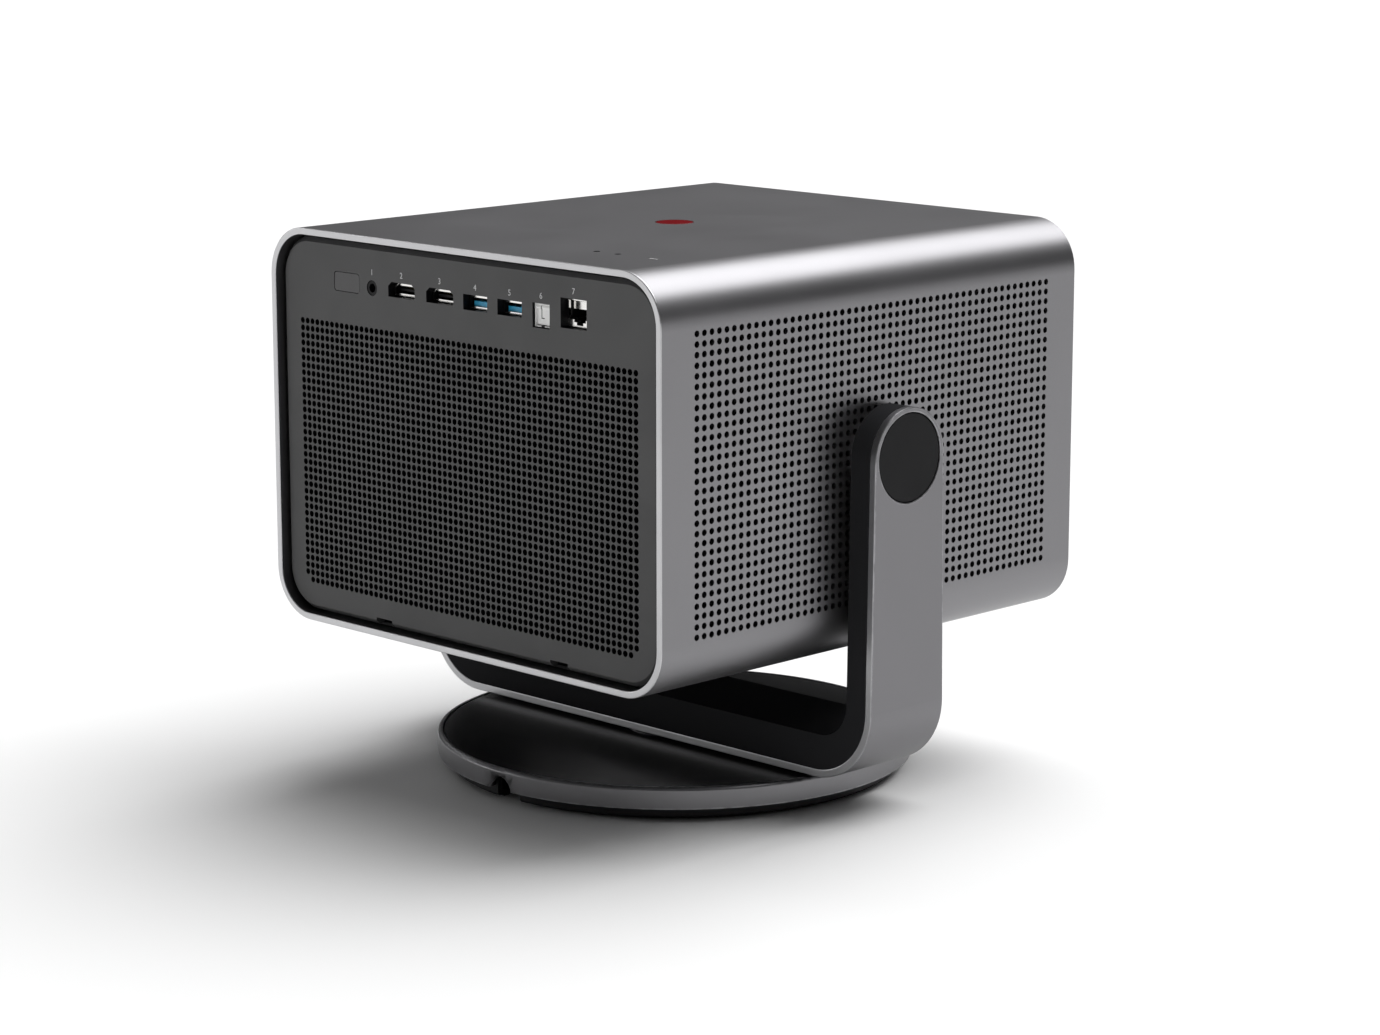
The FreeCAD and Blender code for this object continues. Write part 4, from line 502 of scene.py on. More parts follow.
# %% A mesh that joins by place
class JoinedMesh:
    def __init__(self):
        self.index = {}
        self.points = []
        self.faces = []
        self.finishes = []

    def vertex(self, point):
        key = (round(point[0], 7), round(point[1], 7), round(point[2], 7))
        if key not in self.index:
            self.index[key] = len(self.points)
            self.points.append(key)
        return self.index[key]

    def face(self, points, finish=0):
        self.faces.append([self.vertex(point) for point in points])
        self.finishes.append(finish)

    def piece(self, name, body, slot, materials, replaces=(), solid=False):
        """Turn the faces into a scene object that rides on a body. A solid piece is made of closed
        solids, so the outward side of its faces can be found again."""
        mesh = bpy.data.meshes.new(name)
        mesh.from_pydata(self.points, [], self.faces)
        for material in materials:
            mesh.materials.append(material)
        mesh.polygons.foreach_set("material_index", self.finishes)
        if solid:
            closed = bmesh.new()
            closed.from_mesh(mesh)
            bmesh.ops.recalc_face_normals(closed, faces=closed.faces)
            closed.to_mesh(mesh)
            closed.free()
        mesh.shade_smooth()
        mesh.set_sharp_from_angle(angle=SHARP_ANGLE)
        mesh.update()
        made = bpy.data.objects.new(name, mesh)
        bpy.context.scene.collection.objects.link(made)
        normals = made.modifiers.new("normals", "WEIGHTED_NORMAL")
        normals.keep_sharp = True
        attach(made, body)
        if replaces:
            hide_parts(*replaces)
        print(name, len(self.points), "vertices,", len(self.faces), "faces")


# %% [markdown]
# One cell of a grille is a square with a twelve-sided hole. In each quarter, one five-sided face and
# one triangle fill the space between the square's corner and the hole. A function called `place`
# turns flat coordinates and a depth into a point in space, so the same cell serves both sides and the
# back.

# %% One perforated cell
HOLE_SIDES = 12


def disc_loop(x, y, radius, steps):
    return [(x + radius * math.cos(math.tau * k / steps), y + radius * math.sin(math.tau * k / steps))
            for k in range(steps)]


def box_loop(x, y, width, height):
    w, h = width / 2, height / 2
    return [(x + w, y + h), (x - w, y + h), (x - w, y - h), (x + w, y - h)]


def perforated_cell(shell, place, u, v, pitch, radius, thick, wall_shade_finish=0):
    """Square cell with a round hole. place(u, v, depth) gives the point in space."""
    ring = disc_loop(u, v, radius, HOLE_SIDES)
    corners = box_loop(u, v, pitch, pitch)
    for depth in (0, thick):
        for quarter in range(4):
            first = quarter * HOLE_SIDES // 4
            outline = [corners[quarter - 1], corners[quarter], ring[first + 1], ring[first], ring[first - 1]]
            wedge = [corners[quarter], ring[first + 2], ring[first + 1]]
            for flat in (outline, wedge):
                points = [place(a, b, depth) for a, b in flat]
                shell.face(points if depth == 0 else points[::-1])
    for k in range(HOLE_SIDES):
        a, b = ring[k], ring[(k + 1) % HOLE_SIDES]
        shell.face([place(*a, 0), place(*b, 0), place(*b, thick), place(*a, thick)], wall_shade_finish)


def plain_cell(shell, place, u, v, pitch, thick):
    corners = box_loop(u, v, pitch, pitch)
    shell.face([place(a, b, 0) for a, b in corners])
    shell.face([place(a, b, thick) for a, b in corners[::-1]])


print("every hole has", HOLE_SIDES, "sides")

# %% [markdown]
# Round the grilles lie flats with openings of many shapes. Blender can divide a flat outline with
# holes into triangles that use only the given points (a constrained Delaunay triangulation). It also
# fills the openings, so triangles whose centre falls into one are left away.

# %% A flat with openings, and walls
def inside(point, loop):
    """True if a flat point lies inside a closed loop of points."""
    x, y = point
    crossings = 0
    for (x1, y1), (x2, y2) in zip(loop, loop[1:] + loop[:1]):
        if (y1 > y) != (y2 > y) and x < (x2 - x1) * (y - y1) / (y2 - y1) + x1:
            crossings += 1
    return crossings % 2 == 1


def fill(shell, place, outline, openings, depth=0, finish=0):
    """Flat face with openings, made of triangles that use only the points that are given."""
    loops = [outline, *openings]
    points, edges = [], []
    for loop in loops:
        first = len(points)
        points += [Vector(point) for point in loop]
        edges += [(first + k, first + (k + 1) % len(loop)) for k in range(len(loop))]
    result = mathutils.geometry.delaunay_2d_cdt(points, edges, [], 1, 1e-9)
    for triangle in result[2]:
        flat = [result[0][k] for k in triangle]
        centre = sum(flat, Vector((0, 0))) / 3
        if not inside(centre, outline) or any(inside(centre, opening) for opening in openings):
            continue
        turn = (flat[1] - flat[0]).cross(flat[2] - flat[0])
        if (turn < 0) == (depth == 0):
            flat.reverse()
        shell.face([place(a, b, depth) for a, b in flat], finish)


def wall(shell, place, loop, start, end, finish=0):
    """Band that runs straight in along a loop, as the side of an opening."""
    for a, b in zip(loop, loop[1:] + loop[:1]):
        shell.face([place(*a, start), place(*b, start), place(*b, end), place(*a, end)], finish)


print("the middle of a square lies inside it:", inside((0, 0), box_loop(0, 0, 1, 1)))

# %% [markdown]
# The sleeve is one extrusion: a rounded rectangle pushed along Y. Its outline is written once, as
# points with their outward directions. The wall's inner face is the same outline moved in by the
# wall's thickness, and the lips are two rounded edges with a flat between them. The flat sides are
# divided exactly at the rows of the hole grid, so that grid and sleeve share their vertices.

# %% Outline of the sleeve
AXIS_Z = next(j for j in frame["joints"] if j["name"] == "head_tilt")["pos_m"][2]
SLEEVE_LOW, SLEEVE_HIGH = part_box("sleeve_housing")
HALF_DEPTH = SLEEVE_HIGH.y
HALF_HEIGHT = SLEEVE_HIGH.z - AXIS_Z
BOSS_RISE = 0.5 * MM
HALF_WIDTH = SLEEVE_HIGH.x - BOSS_RISE
SLEEVE_CORNER = 19.9 * MM
SLEEVE_WALL = 2.7 * MM
SIDE_PITCH, SIDE_HOLE = 3.87 * MM, 1.28 * MM
SIDE_COLUMNS, SIDE_ROWS = 52, 30
BOSS_CLEAR = 16.5 * MM
CORNER_STEPS = 14


def steps_between(count, pitch):
    """Places of the grid lines of count cells about zero."""
    return [(k - count / 2) * pitch for k in range(count + 1)]


def rounded_outline(half_x, half_z, radius, side_marks=()):
    """Outline, anticlockwise in XZ from the upper +X corner: (x, z, outward x, outward z)."""
    reach_x, reach_z = half_x - radius, half_z - radius
    found = []
    for corner, (sx, sz) in enumerate(((1, 1), (-1, 1), (-1, -1), (1, -1))):
        for k in range(CORNER_STEPS + 1):
            turn = math.pi / 2 * (corner + k / CORNER_STEPS)
            out = (math.cos(turn), math.sin(turn))
            found.append((sx * reach_x + radius * out[0], sz * reach_z + radius * out[1], *out))
        if corner in (1, 3):
            sign = 1 if corner == 1 else -1
            for mark in sorted(side_marks, reverse=corner == 1):
                found.append((-sign * half_x, mark, -sign, 0.0))
    return found


SIDE_MARKS = steps_between(SIDE_ROWS, SIDE_PITCH)
OUTLINE = rounded_outline(HALF_WIDTH, HALF_HEIGHT, SLEEVE_CORNER, SIDE_MARKS)
print("sleeve outline has", len(OUTLINE), "points")

# %% [markdown]
# Both ends of the sleeve are a lip: the cut edge of the sheet, milled flat and bright, with two small
# rounds. Its profile is a list of points, each with its distance in from the outer face and its
# place along Y, and it is swept round the whole outline.

# %% Lips of the sleeve
LIP_ROUND, LIP_STEPS = 0.4 * MM, 3


def lip_profile(end):
    """(how far in from the outer face, place along Y) round one lip, from outside to inside."""
    outer, inner = [], []
    for k in range(LIP_STEPS + 1):
        turn = math.pi / 2 * k / LIP_STEPS
        cut = LIP_ROUND * (1 - math.cos(turn)), LIP_ROUND * (1 - math.sin(turn))
        outer.append((cut[0], end * (HALF_DEPTH - cut[1])))
        inner.append((SLEEVE_WALL - cut[0], end * (HALF_DEPTH - cut[1])))
    return outer + inner[::-1]


def sleeve_point(entry, inset, y):
    x, z, out_x, out_z = entry
    return (x - out_x * inset, y, AXIS_Z + z - out_z * inset)


def add_lips(shell, a, b):
    """Both lips along one stretch of the outline, in the second finish."""
    for end in (1, -1):
        profile = lip_profile(end)
        for (inset1, y1), (inset2, y2) in zip(profile, profile[1:]):
            band = [sleeve_point(a, inset1, y1), sleeve_point(a, inset2, y2),
                    sleeve_point(b, inset2, y2), sleeve_point(b, inset1, y1)]
            shell.face(band if end == 1 else band[::-1], 1)


print("each lip has", len(lip_profile(1)), "points")

# %% [markdown]
# The side grille fills the flat of each side from edge to edge. Only a disc round the axle stays
# closed, and there the cells are plain squares.

# %% Side grilles
def side_cell(shell, side, y, z):
    """One cell of a side grille. side is 1 for the +X face and -1 for the -X face."""
    def place(u, v, depth):
        return (side * (HALF_WIDTH - depth), side * u, AXIS_Z + v)
    if math.hypot(y, z) < BOSS_CLEAR:
        plain_cell(shell, place, side * y, z, SIDE_PITCH, SLEEVE_WALL)
    else:
        perforated_cell(shell, place, side * y, z, SIDE_PITCH, SIDE_HOLE, SLEEVE_WALL)


print(2 * SIDE_COLUMNS * SIDE_ROWS, "cells in the two side grilles")

# %% [markdown]
# The top is flat and has four openings near the middle line and the back edge: a round one for the
# button, two small ones for the microphones and a slot for the status light.

# %% Top of the sleeve
BUTTON_RADIUS, BUTTON_STEPS = 7.8 * MM, 48
MICROPHONES_X, MICROPHONE_RADIUS, MICROPHONE_STEPS = (-45.6 * MM, -57.0 * MM), 1.4 * MM, 14
MICROPHONE_Y = 86.4 * MM
LIGHT_X, LIGHT_WIDTH, LIGHT_DEPTH = -75.7 * MM, 5.2 * MM, 1.0 * MM


def sleeve_top(shell, along):
    """Flat top with the button's hole, the microphones and the light's slot."""
    def place(u, v, depth):
        return (u, v, AXIS_Z + HALF_HEIGHT - depth)
    reach = HALF_WIDTH - SLEEVE_CORNER
    outline = [(reach, y) for y in along] + [(-reach, y) for y in reversed(along)]
    openings = [disc_loop(0, 0, BUTTON_RADIUS, BUTTON_STEPS)]
    openings += [disc_loop(x, MICROPHONE_Y, MICROPHONE_RADIUS, MICROPHONE_STEPS) for x in MICROPHONES_X]
    openings.append(box_loop(LIGHT_X, MICROPHONE_Y, LIGHT_WIDTH, LIGHT_DEPTH))
    for depth in (0, SLEEVE_WALL):
        fill(shell, place, outline, openings, depth)
    for opening in openings:
        wall(shell, place, opening, 0, SLEEVE_WALL)


print("button hole", round(2 * BUTTON_RADIUS / MM, 1), "mm wide,", len(MICROPHONES_X), "microphones")

# %% [markdown]
# A raised disc on each side carries the axle. It is a profile turned about the axle, like work on a
# lathe: each pair of profile points becomes a ring of four-sided faces.

# %% Bosses round the axles
BOSS_RADIUS, BOSS_HOLE, BOSS_EDGE, BOSS_STEPS = 15 * MM, 8.3 * MM, 0.2 * MM, 64


def sleeve_bosses(shell):
    """Plain raised disc on each side, round the axle."""
    profile = [(BOSS_RADIUS, 0), (BOSS_RADIUS, BOSS_RISE - BOSS_EDGE), (BOSS_RADIUS - BOSS_EDGE, BOSS_RISE),
               (BOSS_HOLE, BOSS_RISE), (BOSS_HOLE, -SLEEVE_WALL)]
    for side in (1, -1):
        for (r1, rise1), (r2, rise2) in zip(profile, profile[1:]):
            for k in range(BOSS_STEPS):
                turns = (math.tau * k / BOSS_STEPS, math.tau * (k + 1) / BOSS_STEPS)
                quad = [(side * (HALF_WIDTH + rise), r * math.cos(t), AXIS_Z + r * math.sin(t))
                        for r, rise, t in ((r1, rise1, turns[0]), (r1, rise1, turns[1]),
                                           (r2, rise2, turns[1]), (r2, rise2, turns[0]))]
                shell.face(quad if side == 1 else quad[::-1])


print("each boss is", round(2 * BOSS_RADIUS / MM, 1), "mm wide and rises", round(BOSS_RISE / MM, 1), "mm")

# %% [markdown]
# Now the sleeve is put together. Its sides are walked along the outline and along Y at once. Where a
# stretch lies on the grid, the grille's cell takes its place. Elsewhere it is an outer and an inner
# face. The top flat is left open in this walk and filled afterwards.

# %% The sleeve
def make_sleeve():
    shell = JoinedMesh()
    along = [-(HALF_DEPTH - LIP_ROUND), *steps_between(SIDE_COLUMNS, SIDE_PITCH), HALF_DEPTH - LIP_ROUND]
    grid_z = set(round(mark, 7) for mark in SIDE_MARKS)
    pairs = list(zip(OUTLINE, OUTLINE[1:] + OUTLINE[:1]))
    for a, b in pairs:
        if math.dist(a[:2], b[:2]) < 1e-7:
            continue
        top_flat = a[3] > 0.999 and b[3] > 0.999
        on_grid = round(a[1], 7) in grid_z and round(b[1], 7) in grid_z and abs(a[2]) > 0.999
        for y1, y2 in zip(along, along[1:]):
            in_grille = on_grid and abs(y1 + y2) / 2 < SIDE_COLUMNS * SIDE_PITCH / 2
            if in_grille:
                side_cell(shell, a[2], (y1 + y2) / 2, (a[1] + b[1]) / 2)
                continue
            if not top_flat:
                shell.face([sleeve_point(a, 0, y1), sleeve_point(a, 0, y2),
                            sleeve_point(b, 0, y2), sleeve_point(b, 0, y1)])
                shell.face([sleeve_point(b, SLEEVE_WALL, y1), sleeve_point(b, SLEEVE_WALL, y2),
                            sleeve_point(a, SLEEVE_WALL, y2), sleeve_point(a, SLEEVE_WALL, y1)])
        add_lips(shell, a, b)
    sleeve_top(shell, along)
    sleeve_bosses(shell)
    shell.piece("sleeve_shell", "head", "grey_aluminium", [ALUMINIUM, MACHINED], replaces=["sleeve_housing"])


make_sleeve()

# %% [markdown]
# The rear panel is a moulded plate with its own, finer hole grid, a cut-out for every socket and
# two shallow slots in its lower edge. Its outer sizes are read from the construction model, and the
# places of grid and sockets are counted from the tilt axis.

# %% Sizes of the rear panel
PANEL_LOW, PANEL_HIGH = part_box("rear_panel")
PANEL_FACE, PANEL_BACK = PANEL_HIGH.y, PANEL_LOW.y
PANEL_HALF_X, PANEL_HALF_Z = PANEL_HIGH.x, PANEL_HIGH.z - AXIS_Z
PANEL_DEPTH = PANEL_FACE - PANEL_BACK
PANEL_FLARE = 1.8 * MM
PANEL_CORNER = 14.2 * MM + PANEL_FLARE
PANEL_SKIN = 2.5 * MM
REAR_PITCH, REAR_HOLE = 3.0 * MM, 1.24 * MM
REAR_COLUMNS, REAR_ROWS = 64, 36
REAR_DROP = 10.7 * MM
SLOT_HALF, SLOT_BITE = 4.8 * MM, 1.0 * MM
SLOTS = [(centre - SLOT_HALF, centre + SLOT_HALF) for centre in (52.8 * MM, -47.7 * MM)]
print("rear panel", round(2 * PANEL_HALF_X / MM, 1), "x", round(2 * PANEL_HALF_Z / MM, 1), "mm")

# %% [markdown]
# The cut-outs. From left to right, as seen from behind: receiver window, headphone socket, two
# display sockets, two data sockets, optical socket and network socket. Each opening is a little
# larger than the socket that stands in it. A display socket has two cut corners, which keep its plug
# from being pushed in upside down.

# %% Cut-outs of the sockets
SOCKET_GAP = 0.25 * MM
DISPLAY_PLACES, DISPLAY_Z = (34.3 * MM, 12.1 * MM), 59.2 * MM
DISPLAY_WIDTH, DISPLAY_HEIGHT = 15.0 * MM, 5.3 * MM
DISPLAY_CUT, DISPLAY_CUT_RUN = 1.6 * MM, 2.0 * MM
DATA_PLACES, DATA_Z = (-8.1 * MM, -27.3 * MM), 58.6 * MM
DATA_WIDTH, DATA_HEIGHT = 13.0 * MM, 5.5 * MM
OPTICAL_X, OPTICAL_Z, OPTICAL_SIDE = -44.5 * MM, 57.5 * MM, 8.8 * MM
NETWORK_X, NETWORK_Z, NETWORK_WIDTH, NETWORK_HEIGHT = -62.0 * MM, 59.9 * MM, 13.4 * MM, 10.7 * MM
WINDOW_X, WINDOW_Z = 66.9 * MM, 59.4 * MM
WINDOW_HALF_WIDTH, WINDOW_HALF_HEIGHT, WINDOW_CORNER = 7.65 * MM, 3.9 * MM, 1.4 * MM
HEADPHONE_X, HEADPHONE_Z, HEADPHONE_RADIUS, HEADPHONE_STEPS = 51.75 * MM, 58.6 * MM, 3.05 * MM, 32


def cut_corner_loop(width, height):
    """Outline of a display socket: its two upper corners are cut."""
    w, h = width / 2, height / 2
    return [(w, h - DISPLAY_CUT), (w - DISPLAY_CUT_RUN, h), (DISPLAY_CUT_RUN - w, h),
            (-w, h - DISPLAY_CUT), (-w, -h), (w, -h)]


def moved(loop, x, y):
    return [(a + x, b + y) for a, b in loop]


def rear_openings():
    """Cut-outs of the sockets, in the panel's own (-X, Z) plane."""
    boxes = [(x, DATA_Z, DATA_WIDTH, DATA_HEIGHT) for x in DATA_PLACES]
    boxes.append((OPTICAL_X, OPTICAL_Z, OPTICAL_SIDE, OPTICAL_SIDE))
    boxes.append((NETWORK_X, NETWORK_Z, NETWORK_WIDTH, NETWORK_HEIGHT))
    found = [box_loop(-x, z, width + 2 * SOCKET_GAP, height + 2 * SOCKET_GAP)
             for x, z, width, height in boxes]
    display = cut_corner_loop(DISPLAY_WIDTH + 2 * SOCKET_GAP, DISPLAY_HEIGHT + 2 * SOCKET_GAP)
    found += [moved(display, -x, DISPLAY_Z) for x in DISPLAY_PLACES]
    window = rounded_outline(WINDOW_HALF_WIDTH, WINDOW_HALF_HEIGHT, WINDOW_CORNER)
    found.append(moved([entry[:2] for entry in window], -WINDOW_X, WINDOW_Z))
    found.append(disc_loop(-HEADPHONE_X, HEADPHONE_Z, HEADPHONE_RADIUS, HEADPHONE_STEPS))
    return found


print(len(rear_openings()), "cut-outs")

# %% [markdown]
# The panel's edge is bevelled: from the face it slants outwards, with two soft corners, and then
# runs straight in. That profile is swept round a rounded rectangle. Both slots interrupt it, so the
# outline gets a point at each of their sides.

# %% Edge of the rear panel
EDGE_SOFT = 0.25 * MM
LONG_STEP, SHORT_STEP = 0.7 * EDGE_SOFT, 0.3 * EDGE_SOFT
EDGE_PROFILE = [
    # (how far in from the outline, how deep behind the face)
    (PANEL_FLARE, 0), (PANEL_FLARE - LONG_STEP, SHORT_STEP), (SHORT_STEP, PANEL_FLARE - LONG_STEP),
    (0, PANEL_FLARE + SHORT_STEP), (0, PANEL_DEPTH), (PANEL_FLARE, PANEL_DEPTH)]


def rear_place(u, v, depth):
    """Point in space for a place on the panel, seen from behind, and a depth behind its face."""
    return (-u, PANEL_FACE - depth, AXIS_Z + v)


def panel_rim():
    """Outline of the panel's bevel, with a point at each side of both slots."""
    marks = [edge for slot in SLOTS for edge in slot]
    rim = []
    for entry in rounded_outline(PANEL_HALF_X, PANEL_HALF_Z, PANEL_CORNER):
        if rim and math.dist(entry[:2], rim[-1][:2]) < 1e-7:
            continue
        if rim and entry[3] < -0.999 and rim[-1][3] < -0.999:
            rim += [(mark, entry[1], 0.0, -1.0) for mark in sorted(marks)]
        rim.append(entry)
    return rim


def in_slot(a, b):
    """True for the stretch of the rim that a slot takes away."""
    middle = (a[0] + b[0]) / 2
    return a[3] < -0.999 and b[3] < -0.999 and any(x1 < middle < x2 for x1, x2 in SLOTS)


def rim_point(entry, inset):
    return (entry[0] - entry[2] * inset, entry[1] - entry[3] * inset)


def add_slot(shell, a, b):
    """Floor and both ends of one slot in the lower edge."""
    bite = PANEL_FLARE + SLOT_BITE
    shell.face([rear_place(*rim_point(a, bite), 0), rear_place(*rim_point(b, bite), 0),
                rear_place(*rim_point(b, bite), PANEL_DEPTH), rear_place(*rim_point(a, bite), PANEL_DEPTH)])
    for entry in (a, b):
        side = [rear_place(*rim_point(entry, inset), depth) for inset, depth in EDGE_PROFILE[:-1]]
        side += [rear_place(*rim_point(entry, bite), PANEL_DEPTH), rear_place(*rim_point(entry, bite), 0)]
        shell.face(side if entry is a else side[::-1])


def add_edge(shell, a, b):
    """The flared edge along one stretch of the outline."""
    for (inset1, depth1), (inset2, depth2) in zip(EDGE_PROFILE, EDGE_PROFILE[1:]):
        shell.face([rear_place(*rim_point(a, inset1), depth1), rear_place(*rim_point(a, inset2), depth2),
                    rear_place(*rim_point(b, inset2), depth2), rear_place(*rim_point(b, inset1), depth1)])


print("edge of the rear panel:", len(panel_rim()), "points")

# %% [markdown]
# The grid keeps a rectangle for itself. What is left between that rectangle, the rounded outline
# and the cut-outs is filled with triangles: on a flat face their shape can't be seen. The walls of
# the holes and cut-outs get a deeper black than the face. That black is painted shade, so that the
# holes read as round black dots.

# %% The rear panel
GRID_HALF = REAR_COLUMNS * REAR_PITCH / 2
GRID_LOW = -REAR_DROP - REAR_ROWS * REAR_PITCH / 2


def add_grid(shell):
    """All cells of the rear grille. The two lower corners stay closed."""
    for row in range(REAR_ROWS):
        for column in range(REAR_COLUMNS):
            u = -GRID_HALF + (column + 0.5) * REAR_PITCH
            v = GRID_LOW + (row + 0.5) * REAR_PITCH
            if row == 0 and column in (0, REAR_COLUMNS - 1):
                plain_cell(shell, rear_place, u, v, REAR_PITCH, PANEL_SKIN)
            else:
                # The hole walls in the deepest black: painted shade.
                perforated_cell(shell, rear_place, u, v, REAR_PITCH, REAR_HOLE, PANEL_SKIN, wall_shade_finish=1)


def grid_outline():
    """Rectangle round the grid, with a point at every cell."""
    lines_u = [-GRID_HALF + k * REAR_PITCH for k in range(REAR_COLUMNS + 1)]
    lines_v = [GRID_LOW + k * REAR_PITCH for k in range(REAR_ROWS + 1)]
    return ([(u, lines_v[0]) for u in lines_u] + [(lines_u[-1], v) for v in lines_v[1:]]
            + [(u, lines_v[-1]) for u in reversed(lines_u[:-1])]
            + [(lines_u[0], v) for v in reversed(lines_v[1:-1])])


def make_rear_panel():
    shell = JoinedMesh()
    add_grid(shell)
    rim = panel_rim()
    pairs = list(zip(rim, rim[1:] + rim[:1]))
    face_loop = []
    for a, b in pairs:
        face_loop.append(rim_point(a, PANEL_FLARE))
        if in_slot(a, b):
            face_loop += [rim_point(a, PANEL_FLARE + SLOT_BITE), rim_point(b, PANEL_FLARE + SLOT_BITE)]
    grid_loop, cuts = grid_outline(), rear_openings()
    fill(shell, rear_place, face_loop, [grid_loop, *cuts])
    fill(shell, rear_place, face_loop, [grid_loop, *cuts], PANEL_DEPTH)
    wall(shell, rear_place, grid_loop, PANEL_SKIN, PANEL_DEPTH)
    for cut in cuts:
        # The walls of the cut-outs in the deepest black: painted shade.
        wall(shell, rear_place, cut, 0, PANEL_DEPTH, 1)
    for a, b in pairs:
        if in_slot(a, b):
            add_slot(shell, a, b)
        else:
            add_edge(shell, a, b)
    shell.piece("rear_grille_panel", "head", "panel_grey", [PANEL, BLACK_MOULDING_AND_SHADE], replaces=["rear_panel"])


make_rear_panel()

# %% [markdown]
# The sockets. Each is a bright metal shell, which the construction model already has, with black
# moulding inside that carries gilded contacts. Only a few millimetres of metal show at each mouth, and
# the rest lies in shade, so the black lining starts a little behind the rim. Inside a metal shell the
# lining's walls are painted shade, and the black covers over the shell's upright walls are painted
# shade too. The lining, the tongues and the contacts are all short prisms: one helper pushes an
# outline from one depth to another and closes both ends. Depths are counted from the face of the panel
# inwards.

# %% Parts that all sockets share
SOCKET_DEPTH, LINING_START, SOCKET_END = 3.2 * MM, 5.4 * MM, 13.2 * MM
LINING_WALL = 0.3 * MM
SHELL_WALL = 0.52 * MM
CONTACT_THICK = 0.12 * MM
TOP_BAR, BOTTOM_BAR, BAR_SINK = 0.7 * MM, 0.44 * MM, 0.05 * MM
COVER_WIDTH, COVER_THICK, COVER_PROUD, COVER_INSET = 0.62 * MM, 0.14 * MM, 0.06 * MM, 0.08 * MM


def prism(shell, loop, front, back, finish=0):
    """Closed solid: an outline in the panel's plane, pushed inwards."""
    fill(shell, rear_place, loop, [], front, finish)
    fill(shell, rear_place, loop, [], back, finish)
    wall(shell, rear_place, loop, front, back, finish)


def lining(shell, outer, inner, front, back):
    """Thin black tube with a closed end. Inside a metal shell its walls are painted shade."""
    fill(shell, rear_place, outer, [inner], front)
    wall(shell, rear_place, outer, front, back)
    wall(shell, rear_place, inner, front, back - LINING_WALL)
    fill(shell, rear_place, inner, [], back - LINING_WALL)
    fill(shell, rear_place, outer, [], back)


def contacts(shell, u, v, count, pitch, width, front, back):
    """Row of flat gilded contacts, which stand a hair proud of the tongue."""
    for k in range(count):
        place_u = u + (k - (count - 1) / 2) * pitch
        prism(shell, box_loop(place_u, v, width, CONTACT_THICK), front, back, 1)


def rim_bars(shell, u, top, bottom, width):
    """Folded upper and lower edge of a metal shell, the parts that catch the light."""
    for v, height in ((top - TOP_BAR / 2, TOP_BAR), (bottom + BOTTOM_BAR / 2, BOTTOM_BAR)):
        prism(shell, box_loop(u, v, width, height), SOCKET_DEPTH + BAR_SINK, LINING_START, 2)


def shade_covers(shell, u, v, width, height):
    """Thin black covers over the upright walls of a metal shell, their rim and the start of their inside: painted
    shade on these walls.
    """
    for side in (1, -1):
        rim_u = u + side * (width / 2 + SHELL_WALL / 2)
        inner_u = u + side * (width / 2 - COVER_INSET)
        prism(shell, box_loop(rim_u, v, COVER_WIDTH, height), SOCKET_DEPTH - COVER_PROUD, SOCKET_DEPTH)
        prism(shell, box_loop(inner_u, v, COVER_THICK, height), SOCKET_DEPTH, LINING_START)


SOCKET_FINISHES = [BLACK_MOULDING_AND_SHADE, GOLD, NICKEL]
print("linings reach from", LINING_START / MM, "to", SOCKET_END / MM, "mm behind the panel's face")

# %% [markdown]
# A display socket has a flat tongue with nineteen contacts, ten above and nine below. The tongue's
# nose is chamfered, which is why it is made of a small and a larger rectangle joined by four
# slanting faces.

# %% Display sockets
TONGUE_DROP = 0.35 * MM
TONGUE_NOSE, TONGUE_BODY = (10.9 * MM, 0.9 * MM), (11.1 * MM, 1.34 * MM)
TONGUE_START, TONGUE_FULL, TONGUE_END = 4.4 * MM, 4.8 * MM, 12.5 * MM
DISPLAY_CONTACTS = ((0.7 * MM, 10), (-0.7 * MM, 9))
CONTACT_PITCH, CONTACT_WIDTH, CONTACT_START, CONTACT_END = 1.0 * MM, 0.4 * MM, 5.6 * MM, 12.0 * MM
DISPLAY_BAR = 10.4 * MM
DISPLAY_COVER_DROP, DISPLAY_COVER_CUT = 0.7 * MM, 1.5 * MM


def tongue(shell, u, v):
    nose, body = box_loop(u, v, *TONGUE_NOSE), box_loop(u, v, *TONGUE_BODY)
    fill(shell, rear_place, nose, [], TONGUE_START)
    for (a, b), (c, d) in zip(zip(nose, nose[1:] + nose[:1]), zip(body, body[1:] + body[:1])):
        shell.face([rear_place(*a, TONGUE_START), rear_place(*b, TONGUE_START),
                    rear_place(*d, TONGUE_FULL), rear_place(*c, TONGUE_FULL)])
    wall(shell, rear_place, body, TONGUE_FULL, TONGUE_END)
    fill(shell, rear_place, body, [], TONGUE_END)


def make_display_inserts():
    shell = JoinedMesh()
    width, height = DISPLAY_WIDTH - 2 * SHELL_WALL, DISPLAY_HEIGHT - 2 * SHELL_WALL
    outer = cut_corner_loop(width, height)
    inner = cut_corner_loop(width - 2 * LINING_WALL, height - 2 * LINING_WALL)
    for x in DISPLAY_PLACES:
        lining(shell, moved(outer, -x, DISPLAY_Z), moved(inner, -x, DISPLAY_Z), LINING_START, SOCKET_END)
        tongue(shell, -x, DISPLAY_Z - TONGUE_DROP)
        for rise, count in DISPLAY_CONTACTS:
            contacts(shell, -x, DISPLAY_Z - TONGUE_DROP + rise, count, CONTACT_PITCH, CONTACT_WIDTH,
                     CONTACT_START, CONTACT_END)
        rim_bars(shell, -x, DISPLAY_Z + height / 2, DISPLAY_Z - height / 2, DISPLAY_BAR)
        shade_covers(shell, -x, DISPLAY_Z - DISPLAY_COVER_DROP, width, height - DISPLAY_COVER_CUT)
    shell.piece("display_inserts", "head", "black_plastic", SOCKET_FINISHES, solid=True)


make_display_inserts()
